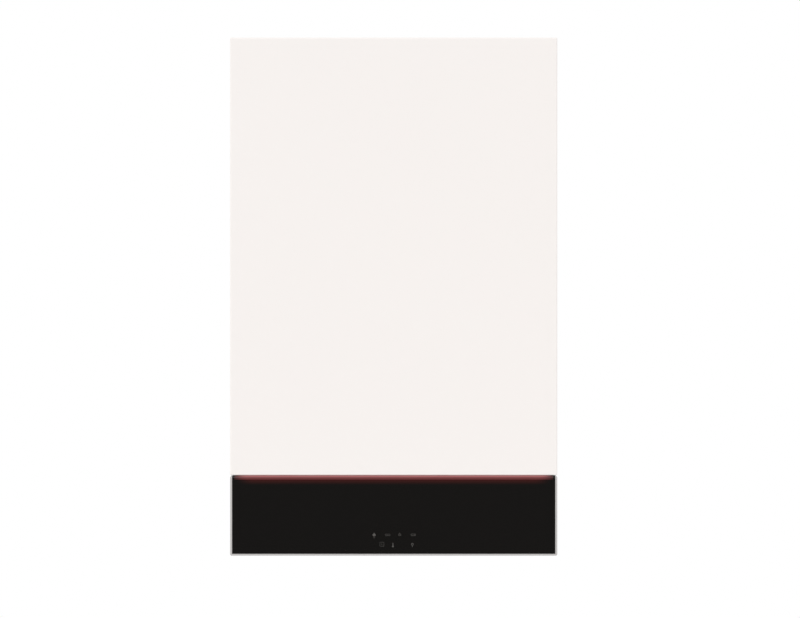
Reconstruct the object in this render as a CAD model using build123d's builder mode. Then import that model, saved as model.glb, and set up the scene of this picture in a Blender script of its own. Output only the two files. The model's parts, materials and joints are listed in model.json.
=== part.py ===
"""A wall-hung condensing combi boiler with a built-in storage cylinder.

White sheet-steel casing, removable front cover, gloss-black control panel that folds
down below it, and the combustion, hydraulic and storage groups inside.

Frame: millimetres, +X to the right seen from the front, +Y towards the wall, +Z up.
The origin is on the wall, midway between the two screw holes of the wall bracket.
A depth is a distance from the wall, so a point at depth d lies at y = -d.
A height is a distance above the casing's lower edge.
"""

from build123d import *

import os
from math import asin, cos, degrees, radians, sin, sqrt, tan

os.makedirs("parts", exist_ok=True)

# ---------------------------------------------------------------- driving dimensions
# Casing
CASING_WIDTH = 600.0
CASING_HEIGHT = 950.0
CASING_DEPTH = 500.0
HANG_DROP = 90.0  # wall-bracket screws below the casing's upper edge
SHEET = 1.0  # casing sheet steel
BEND = 2.0  # outside bend radius of the sheet
FACE_RADIUS = 3.0  # rounded front edges of the cover and the control panel
FLANGE = 30.0  # frame and cover flanges that face each other
REAR_FLANGE = 15.0
COVER_DEPTH = 45.0  # depth of the cover's and the control panel's sides
SEAM = 3.0  # joint between the casing and the cover
CONTROL_HEIGHT = 146.0
CONTROL_GAP = 1.5  # joint between the cover and the control panel
CONTACT_GAP = 0.3  # between pieces that rest on one another but come apart
STANDOFF = 14.0  # rear frame, from the wall
REAR_FRAME_DEPTH = 25.0
TRAY_HEIGHT = 61.0  # top of the recessed connection plate
BAY_DEPTH = 68.0  # bay behind the control panel, where the connection plate turns up
RAIL_HEIGHT = 152.0  # front cross rail
TRAY_LIP = 30.0

# Wall bracket
BRACKET_SHEET = 2.5
BRACKET_WIDTH = 420.0
BRACKET_HOLE_SPACING = 320.0
BRACKET_HOLE_RADIUS = 4.5
BRACKET_DROP = 30.0
BRACKET_RISE = 25.0
HOOK_OFFSET = 19.0  # rear of the hook lip, from the wall
HOOK_LIP = 12.0
HOOK_WIDTH = 76.0
HOOK_SPACING = 300.0
HOOK_OPENING = 20.0  # height of the rear frame's openings
HOOK_SIDE_PLAY = 2.0

# Cover fixing
LIFT_ANGLE = 55.0  # the cover lifts off forwards and up, above horizontal
COVER_HOOK_SPACING = 400.0
COVER_HOOK_WIDTH = 30.0
COVER_HOOK_LENGTH = 12.0
COVER_HOOK_SHEET = 1.5
COVER_HOOK_INSET = 26.0  # upper hook roots below the casing top
LOWER_HOOK_RISE = 18.0  # lower hook roots above the cover's lower edge
SLOT_PLAY = 1.5
SEAL_WIDTH = 10.0
SEAL_INSET = 5.0
MAT_THICKNESS = 6.0
MAT_MARGIN = 20.0

# Heat exchanger and burner
HX_DROP = 260.0  # axis below the casing's upper edge
HX_TO_PANEL = 13.0  # its flange, from the side panel
HX_TO_FOAM = 7.0  # its flange, from the cylinder's insulation
HX_WALL = 1.5
HX_BACK = 62.0
HX_FLANGE = 14.0
HX_FLANGE_THICKNESS = 3.0
HX_EDGE = 8.0
BRACKET_RAIL = 22.0  # width of the heat exchanger bracket's flanges
COIL_INSET = 29.0  # middle of the coil's tube, inside the housing
COIL_TUBE_DEPTH = 16.0
COIL_GAP = 10.0  # between the turns
COIL_TURNS = 4
COIL_REAR_GAP = 4.0
COIL_FRONT_GAP = 22.5
COIL_BARS = 3
COIL_BAR_TURN = 30.0  # degrees from the right to the first bar
COIL_BAR_WIDTH = 4.0
DOOR_THICKNESS = 10.0
DOOR_INSULATION = 18.0
BURNER_RADIUS = 35.0
BURNER_LENGTH = 150.0
BURNER_WALL = 1.0
STUD_COUNT = 6
STUD_RADIUS = 3.0
STUD_CLEARANCE = 0.3
NUT_WIDTH = 10.0
NUT_THICKNESS = 5.0
ELECTRODE_RADIUS = 3.0
ELECTRODE_SPACING = 30.0
ELECTRODE_DROP = 56.0
ELECTRODE_LENGTH = 62.0
ELECTRODE_COLLAR = 6.0
ELECTRODE_CAP = 3.9
WATER_PORT_OFFSET = 55.0
WATER_PIPE_RADIUS = 9.0
WATER_PIPE_WALL = 1.0
PORT_COLLAR = 3.0
PORT_LENGTH = 8.0  # how far the ports reach below the round housing
FLOW_PORT_INSET = 73.0  # behind the housing's front
RETURN_PORT_DEPTH = 150.0
SUMP_INSET = 26.0

# Flue
FLUE_SEAT_RADIUS = 30.3  # seats a 60 mm flue pipe
AIR_SEAT_RADIUS = 50.3  # seats a 100 mm air pipe
FLUE_FIT = 0.3  # radial play of a pipe in its seat
SOCKET_WALL = 3.0
AIR_SEAT_LENGTH = 40.0
FLUE_SEAT_LENGTH = 34.0
FLUE_SEAT_INSET = 6.0  # mouth of the flue seat below the casing top
OUTLET_SEAT = 14.0
SOCKET_FLANGE = 12.0
SOCKET_PLAY = 1.0  # between the socket and the hole in the top panel

# Fan, mixer and gas valve
FAN_RISE = 95.0
FAN_INNER = 58.0  # volute radius at its tongue
FAN_OUTER = 75.0  # volute radius at its outlet
FAN_WALL = 3.0
FAN_WIDTH = 54.0
FAN_FOOT = 63.0  # outlet below the fan axis
FAN_OUTLET = 50.0
FAN_FLANGE = 6.0
FAN_FLANGE_THICKNESS = 4.0
EYE_RADIUS = 28.0
IMPELLER_RADIUS = 51.0
IMPELLER_WIDTH = 34.0
IMPELLER_GAP = 5.0
IMPELLER_PLATE = 1.5
BLADE_COUNT = 12
BLADE_THICKNESS = 1.6
BLADE_SWEEP = 38.0  # degrees a blade leans back from hub to rim
HUB_RADIUS = 12.0
VOLUTE_ARCS = 4
SHAFT_RADIUS = 4.0
RUNNING_FIT = 0.1
MOTOR_RADIUS = 40.0
MOTOR_LENGTH = 36.0
MOTOR_TO_DOOR = 10.0
MIXER_RADIUS = 34.0
MIXER_LENGTH = 40.0
MIXER_THROAT = 16.0
MIXER_SPOUT = 10.0  # how far the gas spout stands out of the mixer
INTAKE_RADIUS = 21.0
INTAKE_WALL = 2.0
INTAKE_BEND = 24.0
INTAKE_TO_MAT = 10.0  # behind the cover's insulation
INTAKE_DROP = 55.0  # mouth below the casing's upper edge
GAS_VALVE_TO_PANEL = 13.0
GAS_VALVE_DROP = 240.0  # its base, below the heat exchanger's axis
GAS_VALVE_WIDTH = 58.0
GAS_VALVE_DEPTH = 50.0
GAS_VALVE_HEIGHT = 110.0
SOLENOID_RADIUS = 17.0
SOLENOID_LENGTH = 32.0
SOLENOID_SPACING = 46.0
PORT_STEP = 4.0
GAS_PIPE_RADIUS = 9.0
MIXER_PIPE_RADIUS = 6.0
GAS_RISER_OFFSET = 75.0  # to the right of the gas valve
GAS_RUN_TO_BAY = 30.0  # behind the bay of the control panel
GAS_RUN_HEIGHT = 79.0

# Storage cylinder
TANK_WALL = 1.5
TANK_BASE = 220.0
TANK_DROP = 60.0  # its top, below the casing's upper edge
TANK_DOME = 28.0
TANK_KNUCKLE = 29.0  # width of the steep outer ring of a dished end
TANK_KNUCKLE_RISE = 7.0
TANK_CROWN = 88.0  # width of the sloping ring outside the flat middle
TANK_NECK_RADIUS = 10.0
TANK_NECK = 16.0
FOAM_SIDE = 15.0
FOAM_TO_PANEL = 4.0
FOAM_TO_FRAME = 6.5
FOAM_TO_RISER = 6.0  # from the return pipe's riser
FOAM_CHAMFER = 40.0
SHELF_SHEET = 2.0
SHELF_INSET = 28.5  # its front edge, behind the insulation's front
GUSSET = 60.0
COLD_HOLE_PLAY = 6.0  # round the cold pipe where it passes the shelf

# Pipe connections below the casing plate
STUB_SPACING = 65.0
STUB_DEPTH = 125.0
STUB_END = 10.0
STUB_BORE = 40.0  # how far the open ends are hollow
HEATING_RADIUS = 11.0
WATER_RADIUS = 7.5
PIPE_WALL = 1.0
RUN_HEIGHT = 186.0  # pipes that run between the hydraulics and the cylinder
GROMMET_WIDTH = 4.0
GROMMET_THICKNESS = 2.0
GROMMET_PLAY = 0.8  # between a pipe and its grommet
CABLE_X = 200.0
CABLE_TO_BAY = 54.0
CABLE_RADIUS = 4.5

# Hydraulic blocks
BLOCK_BACK = 105.0
BLOCK_FRONT = 200.0
BLOCK_BASE = 75.0
BLOCK_RADIUS = 8.0
FOOT_RADIUS = 7.0
FOOT_INSET = 12.0
DIVERTER_LEFT = -152.0
DIVERTER_WIDTH = 62.0
DIVERTER_HEIGHT = 130.0
DIVERTER_AXIS_DEPTH = 152.0
DIVERTER_AXIS_HEIGHT = 140.0
DIVERTER_BORE = 15.0
DIVERTER_TRAVEL = 8.0
DIVERTER_SEAT_WALL = 6.0
SPINDLE_RADIUS = 3.0
SPINDLE_LENGTH = 26.0  # from the plug's rear face into the motor
PLUG_START = 10.0
SEAT_RADIUS = 9.0  # passage that the plug closes
ACTUATOR_LENGTH = 52.0
ACTUATOR_WIDTH = 44.0
ACTUATOR_HEIGHT = 54.0
PLUG_RADIUS = 11.0
PLUG_LENGTH = 14.0
PUMP_LEFT = 80.0
PUMP_WIDTH = 135.0
PUMP_HEIGHT = 95.0
PUMP_X = 165.0
PUMP_AXIS_HEIGHT = 120.0
PUMP_CHAMBER = 28.0
PUMP_CHAMBER_DEPTH = 20.0
PUMP_CAN_RADIUS = 41.0
PUMP_CAN_LENGTH = 68.0
PUMP_IMPELLER_RADIUS = 24.0
PUMP_IMPELLER_WIDTH = 9.0
PUMP_PLATE = 6.0
PUMP_SHAFT = 36.0
VANE_COUNT = 6
VANE_LEAN = 30.0  # degrees a vane leans back from hub to rim
VANE_HUB = 7.2
VANE_ROOT = 6.0
VANE_BEND = 2.0  # how far the middle of a vane hangs back
PLATE_X = -8.0
PLATE_LENGTH = 246.0
PLATE_HEIGHT = 76.0
PLATE_BASE = 95.0
PLATE_BACK = 215.0
PLATE_PITCH = 4.7
PLATE_COUNT = 10
PLATE_PORT_INSET = 21.0
PLATE_PORT_RADIUS = 11.0
CHARGE_GAP = 2.0  # from the heating pump's motor
CHARGE_RADIUS = 26.0
CHARGE_CHAMBER = 20.0
CHARGE_VOLUTE = 30.0
CHARGE_MOTOR = 60.0
CHARGE_HALF = 14.0
CHARGE_WALL = 4.0
CHARGE_SHAFT = 34.0
CHARGE_ROTOR_GAP = 6.0
CHARGE_ROTOR_WIDTH = 9.0
RISER_GAP = 6.5  # between the return riser and the hot water pipe
HOT_RISER_X = 20.0
HOT_RISER_GAP = 11.0  # in front of the cylinder's insulation
HOT_CROSSING_DROP = 22.0  # below the casing's upper edge
PIPE_BEND = 16.0
FLOW_PIPE_BEND = 24.0
BRANCH_BEND = 12.0

# Expansion vessel
VESSEL_TO_PANEL = 6.0
VESSEL_TO_FOAM = 20.0
VESSEL_TO_HX = 8.0  # its top, below the heat exchanger
VESSEL_THICKNESS = 84.0
VESSEL_BASE = 130.0
VESSEL_CORNER = 40.0
VESSEL_EDGE = 16.0
VESSEL_RIM = 3.0
VESSEL_WALL = 1.5
VESSEL_PORT = 12.0  # length of the hose spout below the vessel
HOSE_RADIUS = 6.0

# Condensate trap
TRAP_TO_PANEL = 26.0
TRAP_DEPTH = 270.0
TRAP_RADIUS = 32.0
TRAP_WALL = 2.5
TRAP_TOP = 190.0
TRAP_FOOT = 34.0
TRAP_FLANGE = 11.0
HOSE_DROP = 170.0  # the hose's lower bend, below the ports
CUP_FIT = 0.3
CUP_WALL = 2.5
CUP_BASE = 14.0
CUP_RIM = 56.0
CUP_RIBS = 8
DRAIN_RADIUS = 10.0
DRAIN_GAP = 1.0  # between the drain's grommet and the trap's flange

# Safety valve and air vent
RELIEF_DEPTH = 150.0
RELIEF_HEIGHT = 105.0
RELIEF_RADIUS = 13.0
RELIEF_LENGTH = 32.0
RELIEF_PIPE = 8.0
RELIEF_BOSS = 11.0  # radius of the outlet's boss
RELIEF_BOSS_LENGTH = 5.0
KNOB_RADIUS = 17.0
KNOB_LENGTH = 18.0
KNOB_FLUTES = 6
STEM_LENGTH = 10.0
VENT_X = 195.0
VENT_RADIUS = 13.0
VENT_HEIGHT = 28.0

# Control panel
FASCIA_WALL = 2.5
HOUSING_TO_PANEL = 41.0  # control housing, from the side panel
HOUSING_WALL = 2.0
HOUSING_BASE = 10.0
HOUSING_TOP = 137.0
HOUSING_TO_TRAY = 8.0  # its back, in front of the bay's rear wall
LID_THICKNESS = 2.0
STRIP_HEIGHT = 6.0
STRIP_DEPTH = 5.0
STRIP_END = 8.0
DISPLAY_WIDTH = 170.0
DISPLAY_HEIGHT = 84.0
DISPLAY_THICKNESS = 8.0
BOARD_WIDTH = 300.0
BOARD_HEIGHT = 104.0
BOARD_THICKNESS = 1.6
BOARD_STANDOFF = 14.0
POST_RADIUS = 4.0
POST_INSET = 8.0
DISPLAY_PLAY = 0.5
HINGE_TO_TRAY = 14.0  # hinge axis, in front of the bay's rear wall
HINGE_HEIGHT = 16.0
EAR_RADIUS = 9.0
EAR_THICKNESS = 8.0
HINGE_SIDE_GAP = 1.0
HINGE_PLATE = 1.5
BRACKET_FOOT = 20.0
BRACKET_HALF_HEIGHT = 13.0
SWITCH_INSET = 53.0  # from the right end of the control housing
SWITCH_SETBACK = 22.0  # behind the panel's face
SWITCH_WIDTH = 12.0
SWITCH_LENGTH = 20.0
SWITCH_ANGLE = 8.0
SWITCH_PIVOT = 6.0
SWITCH_GAP = 0.6
SWITCH_DROP = 7.4
SWITCH_TOP = 4.0
SWITCH_DISH = 1.4
CHEEK_THICKNESS = 2.0
CHEEK_LENGTH = 12.0
PIN_RADIUS = 1.5
PIN_LENGTH = 1.5

# ---------------------------------------------------------------- derived places
HANG_HEIGHT = CASING_HEIGHT - HANG_DROP
BOTTOM = -HANG_HEIGHT
TOP = BOTTOM + CASING_HEIGHT
HALF = CASING_WIDTH / 2
INNER_HALF = HALF - SHEET
COVER_BACK = CASING_DEPTH - COVER_DEPTH
FRAME_FRONT = COVER_BACK - SEAM
RAIL_TOP = BOTTOM + RAIL_HEIGHT
COVER_BOTTOM = BOTTOM + CONTROL_HEIGHT + CONTROL_GAP
REAR_FACE = STANDOFF + SHEET
SIDE_PLANE = Plane(origin=(0, 0, 0), x_dir=(0, -1, 0), z_dir=(-1, 0, 0))
# the cylinder's insulation fills the right side, up to the return pipe's riser
RETURN_RISER_X = -STUB_SPACING + WATER_RADIUS + RISER_GAP + WATER_PIPE_RADIUS
FOAM_LEFT = RETURN_RISER_X + WATER_PIPE_RADIUS + FOAM_TO_RISER
FOAM_RIGHT = INNER_HALF - FOAM_TO_PANEL
FOAM_HALF = (FOAM_RIGHT - FOAM_LEFT) / 2
TANK_X = (FOAM_LEFT + FOAM_RIGHT) / 2
TANK_RADIUS = FOAM_HALF - FOAM_SIDE
TANK_DEPTH = REAR_FACE + FOAM_TO_FRAME + FOAM_HALF
TANK_HEIGHT = CASING_HEIGHT - TANK_DROP - TANK_BASE
FOAM_FRONT = TANK_DEPTH + FOAM_HALF
# the fan group reaches forwards to the cover, and the heat exchanger stands behind it
TRAY_DEPTH = FRAME_FRONT - BAY_DEPTH
INTAKE_DEPTH = CASING_DEPTH - SHEET - MAT_THICKNESS - INTAKE_TO_MAT - INTAKE_RADIUS
MIXER_FRONT = INTAKE_DEPTH - INTAKE_BEND
FAN_FRONT = MIXER_FRONT - MIXER_LENGTH
FAN_BACK = FAN_FRONT - FAN_WIDTH
HX_FRONT = FAN_BACK - MOTOR_LENGTH - MOTOR_TO_DOOR - DOOR_THICKNESS
FLOW_PORT_DEPTH = HX_FRONT - FLOW_PORT_INSET
SUMP_DEPTH = HX_FRONT - SUMP_INSET
FLUE_DEPTH = (HX_BACK + HX_FRONT) / 2
HX_LEFT = -INNER_HALF + HX_TO_PANEL
HX_RIGHT = FOAM_LEFT - HX_TO_FOAM
HX_X = (HX_LEFT + HX_RIGHT) / 2
HX_RADIUS = (HX_RIGHT - HX_LEFT) / 2 - HX_FLANGE
HX_HEIGHT = CASING_HEIGHT - HX_DROP
HX_BOTTOM = HX_HEIGHT - HX_RADIUS
COIL_RADIUS = HX_RADIUS - COIL_INSET
COIL_BACK = HX_BACK + HX_WALL + COIL_REAR_GAP
COIL_LENGTH = HX_FRONT - DOOR_INSULATION - COIL_FRONT_GAP - COIL_BACK
COIL_PITCH = (COIL_LENGTH + COIL_GAP) / (COIL_TURNS + 1)
COIL_TUBE_WIDTH = COIL_PITCH - COIL_GAP
PORT_HEIGHT = HX_BOTTOM - PORT_LENGTH
VESSEL_HEIGHT = HX_BOTTOM - VESSEL_TO_HX - VESSEL_BASE
VESSEL_WIDTH = INNER_HALF + FOAM_LEFT - VESSEL_TO_PANEL - VESSEL_TO_FOAM - 2 * VESSEL_RIM
VESSEL_X = -INNER_HALF + VESSEL_TO_PANEL + VESSEL_RIM + VESSEL_WIDTH / 2
GAS_VALVE_X = -INNER_HALF + GAS_VALVE_TO_PANEL + SOLENOID_LENGTH + GAS_VALVE_WIDTH / 2
GAS_VALVE_BASE = HX_HEIGHT - GAS_VALVE_DROP
TRAP_X = -INNER_HALF + TRAP_TO_PANEL + TRAP_FLANGE + TRAP_RADIUS
DRAIN_GROMMET = DRAIN_RADIUS + GROMMET_WIDTH + GROMMET_THICKNESS
DRAIN_X = TRAP_X + TRAP_RADIUS + TRAP_FLANGE + DRAIN_GAP + DRAIN_GROMMET
HOUSING_HALF = INNER_HALF - HOUSING_TO_PANEL
SWITCH_X = HOUSING_HALF - SWITCH_INSET
SWITCH_DEPTH = CASING_DEPTH - SWITCH_SETBACK
HOUSING_BACK = TRAY_DEPTH + HOUSING_TO_TRAY
HINGE_DEPTH = TRAY_DEPTH + HINGE_TO_TRAY
CABLE_DEPTH = TRAY_DEPTH - CABLE_TO_BAY


def level(height):
    """The z of a height above the casing's lower edge."""
    return BOTTOM + height


def at(x, depth, height):
    """A point from its place across, its depth and its height."""
    return Vector(x, -depth, level(height))


def side_plane(x):
    """The plane of depth and z, at a place across the casing."""
    return Plane(origin=(x, 0, 0), x_dir=(0, -1, 0), z_dir=(-1, 0, 0))


def wall_plane(depth, x=0.0, height=HANG_HEIGHT):
    """The plane of x and z at a depth, facing the front, centred on a place."""
    return Plane(origin=at(x, depth, height), x_dir=(1, 0, 0), z_dir=(0, -1, 0))


def floor_plane(height, x=0.0, depth=0.0):
    """The plane of x and y at a height, facing up, centred on a place."""
    return Plane(origin=at(x, depth, height), x_dir=(1, 0, 0), z_dir=(0, 0, 1))


def cross_plane(x, depth, height):
    """The plane of depth and z through a place, facing the right side panel."""
    return Plane(origin=at(x, depth, height), x_dir=(0, 1, 0), z_dir=(1, 0, 0))


def folded(points, side, thickness=SHEET, radius=BEND):
    """Section of a bent sheet whose one face follows the points."""
    with BuildSketch() as section:
        with BuildLine():
            FilletPolyline(*points, radius=radius)
            offset(amount=thickness, side=side, closed=True)
        make_face()
    return section.sketch


def tube(points, radius, bend=PIPE_BEND, bore=0.0):
    """A round pipe along straight runs joined by tangent arcs, full where no bore is given."""
    with BuildPart() as swept:
        with BuildLine() as route:
            FilletPolyline(*points, radius=bend)
        with BuildSketch(Plane(origin=route.wire() @ 0, z_dir=route.wire() % 0)):
            Circle(radius)
            if bore:
                Circle(bore, mode=Mode.SUBTRACT)
        sweep()
    return swept.part


def stub_bore(x, depth, radius):
    """The open lower end of a pipe that leaves through the connection plate."""
    with BuildPart() as bore:
        with BuildSketch(floor_plane(STUB_END, x, depth)):
            Circle(radius - PIPE_WALL)
        extrude(amount=STUB_BORE)
    return bore.part


def finish(builder, name):
    """Label a finished piece and write it to its own file."""
    builder.part.label = name
    export_step(builder.part, f"parts/{name}.step")


# ---------------------------------------------------------------- wall bracket
with BuildPart() as wall_bracket:
    with BuildSketch(Plane.XZ):
        with Locations((0, (BRACKET_RISE - BRACKET_DROP) / 2)):
            Rectangle(BRACKET_WIDTH, BRACKET_RISE + BRACKET_DROP)
        with GridLocations(BRACKET_HOLE_SPACING, 1, 2, 1):
            Circle(BRACKET_HOLE_RADIUS, mode=Mode.SUBTRACT)
    extrude(amount=BRACKET_SHEET)
    hook_front = HOOK_OFFSET + BRACKET_SHEET
    hook_points = [
        (0, BRACKET_RISE - BRACKET_SHEET),
        (hook_front, BRACKET_RISE - BRACKET_SHEET),
        (hook_front, BRACKET_RISE + HOOK_LIP),
    ]
    for hook_x in (-HOOK_SPACING / 2, HOOK_SPACING / 2):
        with BuildSketch(side_plane(hook_x)):
            add(folded(hook_points, Side.LEFT, BRACKET_SHEET, BRACKET_SHEET + BEND))
        extrude(amount=HOOK_WIDTH / 2, both=True)
finish(wall_bracket, "wall_bracket")

# ---------------------------------------------------------------- rear frame
REAR_HALF = INNER_HALF - BEND
REAR_BOTTOM = TRAY_HEIGHT
REAR_TOP = CASING_HEIGHT - SHEET
SHELF_HEIGHT = TANK_BASE - FOAM_SIDE
SHELF_LEFT = TANK_X - FOAM_HALF + FOAM_SIDE / 2
SHELF_RIGHT = REAR_HALF - SHEET
SHELF_REACH = FOAM_FRONT - SHELF_INSET
COLD_HOLE = WATER_RADIUS + COLD_HOLE_PLAY
with BuildPart() as rear_frame:
    with BuildSketch(wall_plane(STANDOFF, 0, (REAR_BOTTOM + REAR_TOP) / 2)):
        Rectangle(2 * REAR_HALF, REAR_TOP - REAR_BOTTOM)
    extrude(amount=REAR_FRAME_DEPTH)
    fillet(edges().group_by(Axis.Y)[-1], BEND)
    offset(amount=-SHEET, openings=faces().sort_by(Axis.Y)[0])
    with BuildSketch(Plane.XZ.offset(STANDOFF)):
        with Locations((0, BRACKET_RISE - HOOK_OPENING / 2)):
            with GridLocations(HOOK_SPACING, 1, 2, 1):
                Rectangle(HOOK_WIDTH + 2 * HOOK_SIDE_PLAY, HOOK_OPENING)
    extrude(amount=SHEET, mode=Mode.SUBTRACT)
    # shelf that carries the storage cylinder, with a gusset at each end
    with BuildSketch(floor_plane(SHELF_HEIGHT - SHELF_SHEET)):
        with Locations(((SHELF_LEFT + SHELF_RIGHT) / 2, -(STANDOFF + SHELF_REACH) / 2)):
            Rectangle(SHELF_RIGHT - SHELF_LEFT, SHELF_REACH - STANDOFF)
        with Locations((TANK_X, -TANK_DEPTH)):
            Circle(COLD_HOLE, mode=Mode.SUBTRACT)
    extrude(amount=SHELF_SHEET)
    for gusset_x in (SHELF_LEFT, SHELF_RIGHT - SHELF_SHEET):
        with BuildSketch(side_plane(gusset_x)):
            with BuildLine():
                Polyline(
                    (STANDOFF, level(SHELF_HEIGHT - SHELF_SHEET)),
                    (SHELF_REACH / 2, level(SHELF_HEIGHT - SHELF_SHEET)),
                    (STANDOFF, level(SHELF_HEIGHT - SHELF_SHEET - GUSSET)),
                    close=True,
                )
            make_face()
        extrude(amount=-SHELF_SHEET)
finish(rear_frame, "rear_frame")

# ---------------------------------------------------------------- side panels
side_points = [
    (HALF - REAR_FLANGE, 0),
    (HALF, 0),
    (HALF, -FRAME_FRONT),
    (HALF - FLANGE, -FRAME_FRONT),
]
with BuildPart() as right_side_panel:
    with BuildSketch(Plane.XY.offset(BOTTOM)):
        add(folded(side_points, Side.RIGHT))
    extrude(amount=CASING_HEIGHT)
    # the flanges stop below the top panel
    with BuildSketch(Plane.XY.offset(TOP - FLANGE - CONTACT_GAP)):
        with Locations((HALF - FLANGE, -FRAME_FRONT / 2)):
            Rectangle(2 * (FLANGE - SHEET), FRAME_FRONT)
    extrude(amount=FLANGE + CONTACT_GAP, mode=Mode.SUBTRACT)
finish(right_side_panel, "right_side_panel")

with BuildPart() as left_side_panel:
    add(right_side_panel.part)
    mirror(about=Plane.YZ, mode=Mode.REPLACE)
finish(left_side_panel, "left_side_panel")


# ---------------------------------------------------------------- cover hooks
def cover_hook(x, root):
    """A tongue that leans up and forwards from a flange at the casing front."""
    with BuildPart() as tongue:
        with BuildSketch(side_plane(x)):
            with Locations((FRAME_FRONT - SHEET / 2, root)):
                Rectangle(
                    COVER_HOOK_LENGTH,
                    COVER_HOOK_SHEET,
                    rotation=LIFT_ANGLE,
                    align=(Align.MIN, Align.CENTER),
                )
        extrude(amount=COVER_HOOK_WIDTH / 2, both=True)
    return tongue.part


HOOK_ROOTS = (TOP - COVER_HOOK_INSET, COVER_BOTTOM + LOWER_HOOK_RISE)
HOOK_PLACES = (-COVER_HOOK_SPACING / 2, COVER_HOOK_SPACING / 2)

# ---------------------------------------------------------------- top panel
SOCKET_RADIUS = AIR_SEAT_RADIUS + SOCKET_WALL
with BuildPart() as top_panel:
    with BuildSketch(Plane.XY.offset(TOP - FLANGE)):
        with Locations((0, -FRAME_FRONT / 2)):
            Rectangle(2 * INNER_HALF, FRAME_FRONT)
    extrude(amount=FLANGE)
    fillet(edges().group_by(Axis.Z)[-1], BEND)
    offset(amount=-SHEET, openings=faces().sort_by(Axis.Z)[0])
    with BuildSketch(Plane.XY.offset(TOP - SHEET)):
        with Locations((HX_X, -FLUE_DEPTH)):
            Circle(SOCKET_RADIUS + SOCKET_PLAY)
    extrude(amount=SHEET, mode=Mode.SUBTRACT)
    for hook_x in HOOK_PLACES:
        add(cover_hook(hook_x, HOOK_ROOTS[0]))
finish(top_panel, "top_panel")

# ---------------------------------------------------------------- lower tray
STUBS = {
    -2: HEATING_RADIUS,
    -1: WATER_RADIUS,
    0: GAS_PIPE_RADIUS,
    1: WATER_RADIUS,
    2: HEATING_RADIUS,
}
PUMP_RIGHT = PUMP_LEFT + PUMP_WIDTH
RELIEF_PIPE_X = PUMP_RIGHT + RELIEF_LENGTH / 2
GROMMET_PLACES = [(n * STUB_SPACING, STUB_DEPTH, STUBS[n]) for n in STUBS] + [
    (RELIEF_PIPE_X, RELIEF_DEPTH, RELIEF_PIPE),
    (DRAIN_X, TRAP_DEPTH, DRAIN_RADIUS),
    (CABLE_X, CABLE_DEPTH, CABLE_RADIUS),
]
CUP_RADIUS = TRAP_RADIUS + CUP_FIT + CUP_WALL
tray_points = [
    (BEND, level(TRAY_HEIGHT - SHEET)),
    (TRAY_DEPTH + SHEET, level(TRAY_HEIGHT - SHEET)),
    (TRAY_DEPTH + SHEET, RAIL_TOP - SHEET),
    (FRAME_FRONT, RAIL_TOP - SHEET),
    (FRAME_FRONT, RAIL_TOP + TRAY_LIP),
]
with BuildPart() as lower_tray:
    with BuildSketch(SIDE_PLANE):
        add(folded(tray_points, Side.LEFT))
    extrude(amount=INNER_HALF, both=True)
    # the lip ends at the side panels' front flanges
    with BuildSketch(Plane.XZ.offset(FRAME_FRONT - BEND)):
        with Locations((0, RAIL_TOP + TRAY_LIP / 2)):
            with GridLocations(2 * HALF - FLANGE, 1, 2, 1):
                Rectangle(FLANGE, TRAY_LIP + 4 * BEND)
    extrude(amount=2 * SHEET, mode=Mode.SUBTRACT)
    with BuildSketch(floor_plane(TRAY_HEIGHT - SHEET)):
        for hole_x, hole_depth, pipe_radius in GROMMET_PLACES:
            with Locations((hole_x, -hole_depth)):
                Circle(pipe_radius + GROMMET_WIDTH)
        with Locations((TRAP_X, -TRAP_DEPTH)):
            Circle(CUP_RADIUS + GROMMET_THICKNESS)
    extrude(amount=SHEET, mode=Mode.SUBTRACT)
    for hook_x in HOOK_PLACES:
        add(cover_hook(hook_x, HOOK_ROOTS[1]))
finish(lower_tray, "lower_tray")

with BuildPart() as pipe_grommets:
    for hole_x, hole_depth, pipe_radius in GROMMET_PLACES:
        # the cable's grommet is bored to the cable's own radius
        grommet_play = 0.0 if hole_x == CABLE_X else GROMMET_PLAY
        with BuildSketch(side_plane(hole_x)):
            with BuildLine():
                inner = hole_depth + pipe_radius + grommet_play
                outer = hole_depth + pipe_radius + GROMMET_WIDTH
                Polyline(
                    (inner, level(TRAY_HEIGHT - SHEET - GROMMET_THICKNESS)),
                    (outer + GROMMET_THICKNESS, level(TRAY_HEIGHT - SHEET - GROMMET_THICKNESS)),
                    (outer + GROMMET_THICKNESS, level(TRAY_HEIGHT - SHEET)),
                    (outer, level(TRAY_HEIGHT - SHEET)),
                    (outer, level(TRAY_HEIGHT)),
                    (outer + GROMMET_THICKNESS, level(TRAY_HEIGHT)),
                    (outer + GROMMET_THICKNESS, level(TRAY_HEIGHT + GROMMET_THICKNESS)),
                    (inner, level(TRAY_HEIGHT + GROMMET_THICKNESS)),
                    close=True,
                )
            make_face()
        revolve(axis=Axis((hole_x, -hole_depth, 0), (0, 0, 1)))
finish(pipe_grommets, "pipe_grommets")

# ---------------------------------------------------------------- casing seal
SEAL_THICKNESS = SEAM - CONTACT_GAP
COVER_MIDDLE = (COVER_BOTTOM + TOP) / 2
COVER_HEIGHT = TOP - COVER_BOTTOM
with BuildPart() as casing_seal:
    with BuildSketch(Plane.XZ.offset(FRAME_FRONT)):
        with Locations((0, COVER_MIDDLE)):
            Rectangle(CASING_WIDTH - 2 * SEAL_INSET, COVER_HEIGHT - 2 * SEAL_INSET)
            seal_far = SEAL_INSET + SEAL_WIDTH
            Rectangle(
                CASING_WIDTH - 2 * seal_far,
                COVER_HEIGHT - 2 * seal_far,
                mode=Mode.SUBTRACT,
            )
    extrude(amount=SEAL_THICKNESS)
finish(casing_seal, "casing_seal")

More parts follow.
